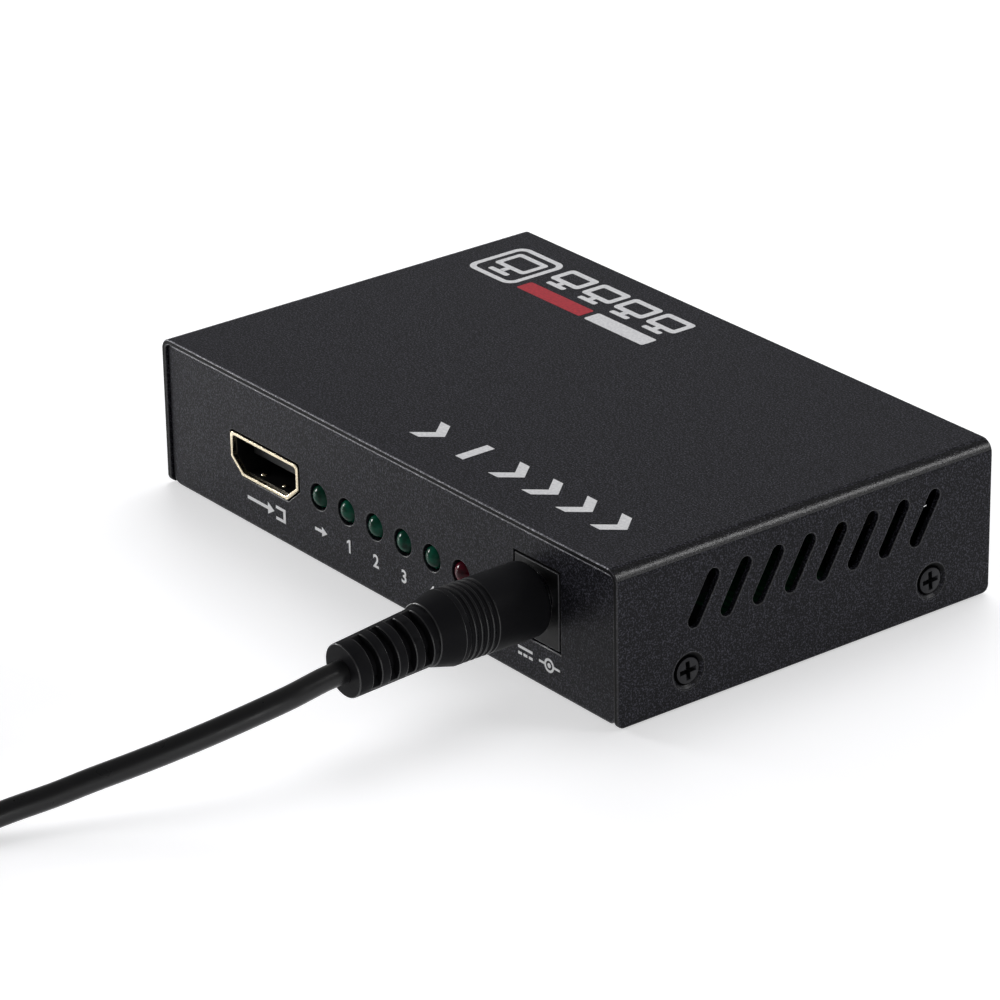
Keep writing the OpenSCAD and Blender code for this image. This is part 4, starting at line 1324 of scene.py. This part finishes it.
def arrow(x0: float, x1: float, y: float, stroke: float, head: float) -> Outline:
    """The outline of an arrow that points along +X.

    Args:
        x0: its tail.
        x1: its tip.
        y: its middle line.
        stroke: the width of its shaft.
        head: the length of its head.

    Returns:
        The outline.
    """
    neck, half, wide = x1 - head, stroke / 2, head * 0.6
    return [
        (x0, y - half), (neck, y - half), (neck, y - wide), (x1, y), (neck, y + wide), (neck, y + half),
        (x0, y + half),
    ]


@dataclass
class PrintedMarks:
    """The screen-printed signs on the case: plain numbers, arrows, screens and bars, in millimetres."""

    film: float = 0.02
    top_z: float = 22.2
    panel_y: float = 31.4
    figure_h: float = 1.95
    figure_z: float = 5.2
    rear_figure_z: float = 4.3
    figure_x: tuple[float, ...] = (-7.4, -1.3, 4.9, 11.0)
    chevron_x: tuple[float, ...] = (-1.4, 15.6, 22.6, 29.6, 36.6)
    chevron_y: Span = (-25.3, -20.0)

    def build(self) -> None:
        """Prints the top, the front and the rear."""
        top = Matrix.Translation(mm(0, 0, self.top_z))
        upright = Matrix.Rotation(math.radians(90), 4, "X")
        front = Matrix.Translation(mm(0, -self.panel_y, 0)) @ upright
        rear = Matrix.Rotation(math.pi, 4, "Z") @ front
        # The top's signs take the greyer copy of the ink: painted shade
        self.print_set("top_signs", self.screens() + self.chevrons(), top, TOP_INK_PAINTED_GREYER)
        self.print_set("top_red_bar", self.bars((-32.6, 17.1, -18.4, 19.9, 0.4)), top, RED_INK)
        self.print_set("front_signs", self.front_signs(), front, INK)
        places = [OUTPUT_PITCH * i - OUTPUT_X for i in range(4)]
        self.print_set("rear_figures", self.figures(places, self.rear_figure_z), rear, INK)

    def print_set(self, name: str, meshes: list[Mesh], place: Matrix, ink: Finish) -> None:
        """Joins flat signs into one printed piece on a face of the case.

        Args:
            name: the piece's name.
            meshes: the signs, drawn in the face's own plane.
            place: where that plane lies.
            ink: the ink's finish.
        """
        mesh = merged(name, meshes)
        mesh.transform(place)
        add_piece(name, mesh, (ink,), Body.CASE, Slot.WHITE)

    def spot(self, outline: Outline, *holes: Outline) -> Mesh:
        """One printed shape."""
        return plate(outline, self.film, *holes)

    def bars(self, *corners: tuple[float, ...]) -> list[Mesh]:
        """Printed rectangles, each given by two corners and their rounding."""
        return [self.spot(block(*c)) for c in corners]

    def figures(self, places: list[float], y: float) -> list[Mesh]:
        """The digits from one on, centred on places along a face at one height."""
        return [self.figure(str(i + 1), x, y) for i, x in enumerate(places)]

    def figure(self, digit: str, x: float, y: float) -> Mesh:
        """A printed digit, centred on a point.

        Args:
            digit: the digit.
            x: the middle along the face.
            y: the middle up the face.

        Returns:
            The digit's mesh.
        """
        if digit == "1":
            half, stem, flag = self.figure_h / 2, 0.36, -0.42
            stroke = [(0, -half), (stem, -half), (stem, half), (0.04, half)]
            stroke += [(flag, half - 0.34), (flag, half - 0.7), (0, half - 0.4)]
            return self.spot([(x + dx, y + dy) for dx, dy in stroke])
        text = bpy.data.curves.new("figure", "FONT")
        text.body = digit
        text.size = 1.0
        text.offset = 0.025
        mesh = plain_mesh(stand("figure", text))
        low, high = box_of([v.co for v in mesh.vertices])
        scale = self.figure_h * MM / (high[1] - low[1])
        mesh.transform(Matrix.Translation(-(low + high) / 2))
        mesh.transform(Matrix.Diagonal((scale, scale, 1, 1)))
        mesh.transform(Matrix.Translation(mm(x, y, self.film)))
        return mesh

    def screens(self) -> list[Mesh]:
        """The signs at the top's rear: a framed screen, four small screens and a plain bar.

        Returns:
            The signs.
        """
        signs = [
            self.spot(block(-44, 16.7, -33.8, 27.5, 1.8), block(-43.1, 17.6, -34.7, 26.6, 1.1)),
            self.spot(block(-42.2, 20.6, -35.6, 25.6, 0.6), block(-41.3, 21.5, -36.5, 24.7, 0.3)),
        ]
        signs += self.bars((-39.4, 19.5, -38.4, 20.6), (-41, 18.5, -36.8, 19.4, 0.3))
        signs += self.bars((-17.4, 17.1, -4.6, 19.9, 0.4))
        for i in range(4):
            x = -32.4 + 7.1 * i
            frame, glass = block(x, 22.9, x + 6.2, 27.4, 0.7), block(x + 1, 23.9, x + 5.2, 26.4, 0.3)
            signs.append(self.spot(frame, glass))
            signs += self.bars((x + 2.6, 22.2, x + 3.6, 22.9), (x + 1.2, 21.3, x + 5, 22.2, 0.3))
        return signs

    def chevrons(self) -> list[Mesh]:
        """The sign at the top's front: one way in, a bar, and four ways out.

        Returns:
            The signs.
        """
        lean, stroke = 2.3, 2.0
        low, high = self.chevron_y
        middle = (low + high) / 2
        signs = self.bars((8.6, low, 10.2, high))
        for x in self.chevron_x:
            end, tip = x + stroke, x + lean
            outline = [(x, low), (end, low), (tip + stroke, middle), (end, high), (x, high), (tip, middle)]
            signs.append(self.spot(outline))
        return signs

    def front_signs(self) -> list[Mesh]:
        """The front's signs: arrows inward, numbers under the lamps, and the supply's signs by the jack.

        Returns:
            The signs.
        """
        signs = self.figures(list(self.figure_x), self.figure_z)
        signs.append(self.spot(arrow(-30.9, -24.6, 4.35, 0.5, 1.5)))
        signs += self.bars((-22.5, 3.3, -21.95, 5.4), (-24.2, 3.3, -22.5, 3.75), (-24.2, 4.95, -22.5, 5.4))
        signs.append(self.spot(arrow(-15.1, -12.3, self.figure_z, 0.45, 1.2)))
        signs += self.bars((29.3, 4.1, 32.3, 4.5))
        signs += self.bars(*((29.3 + 1.1 * i, 3.2, 30.1 + 1.1 * i, 3.6) for i in range(3)))
        pin_x, pin_z = 35.7, 3.85
        signs.append(self.spot(disc(pin_x, pin_z, 1.0), disc(pin_x, pin_z, 0.65)))
        signs.append(self.spot(disc(pin_x, pin_z, 0.35)))
        return signs + self.bars((33.6, 3.68, 34.7, 4.02), (36.7, 3.68, 37.9, 4.02))


# Pieces as they come from the frame


def dress_nodes(nodes: Nodes) -> None:
    """Gives every CAD node that stays in view its own finish.

    Args:
        nodes: the frame's nodes.
    """
    finishes = {
        "contacts": GOLD, "standoffs": STEEL, "board_screws": SCREW_BLACK, "circuit_board": BOARD,
        "lamp_leads": STEEL, "jack_pin": STEEL, "jack_spring": STEEL, "splitter_chip": CHIP,
        "voltage_regulator": CHIP, "filter_capacitors": SLEEVE, "clock_crystal": CAN,
        "power_inductor": CHIP, "chip_parts": CERAMIC, "plug_insulator": PLASTIC, "plug_contact": GOLD,
    }
    for name, node in nodes.items():
        for key, finish in finishes.items():
            if name.endswith(key):
                node.data.materials.clear()
                node.data.materials.append(finish.make())


def main() -> None:
    """Builds the scene in order."""
    logging.basicConfig(level=logging.INFO, format="%(message)s")
    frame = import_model()
    nodes = frame["nodes"]
    Camera().build()
    Studio().build()
    dress_nodes(nodes)
    PowerLead().build(nodes)
    Case().build(nodes)
    VideoPort("input_port", INPUT_X, Side.FRONT).build(nodes)
    for i in range(4):
        VideoPort(f"output_port_{i + 1}", OUTPUT_X - OUTPUT_PITCH * i, Side.REAR).build(nodes)
    names = ("input_lamp", "output_lamp_1", "output_lamp_2", "output_lamp_3", "output_lamp_4")
    for i, name in enumerate(names):
        IndicatorLamp(name, LAMP_X + LAMP_PITCH * i, GREEN, Slot.GREEN).build()
    IndicatorLamp("power_lamp", POWER_LAMP_X, RED, Slot.RED).build()
    BarrelPlug().build(nodes)
    PrintedMarks().build()


if __name__ == "__main__":
    main()
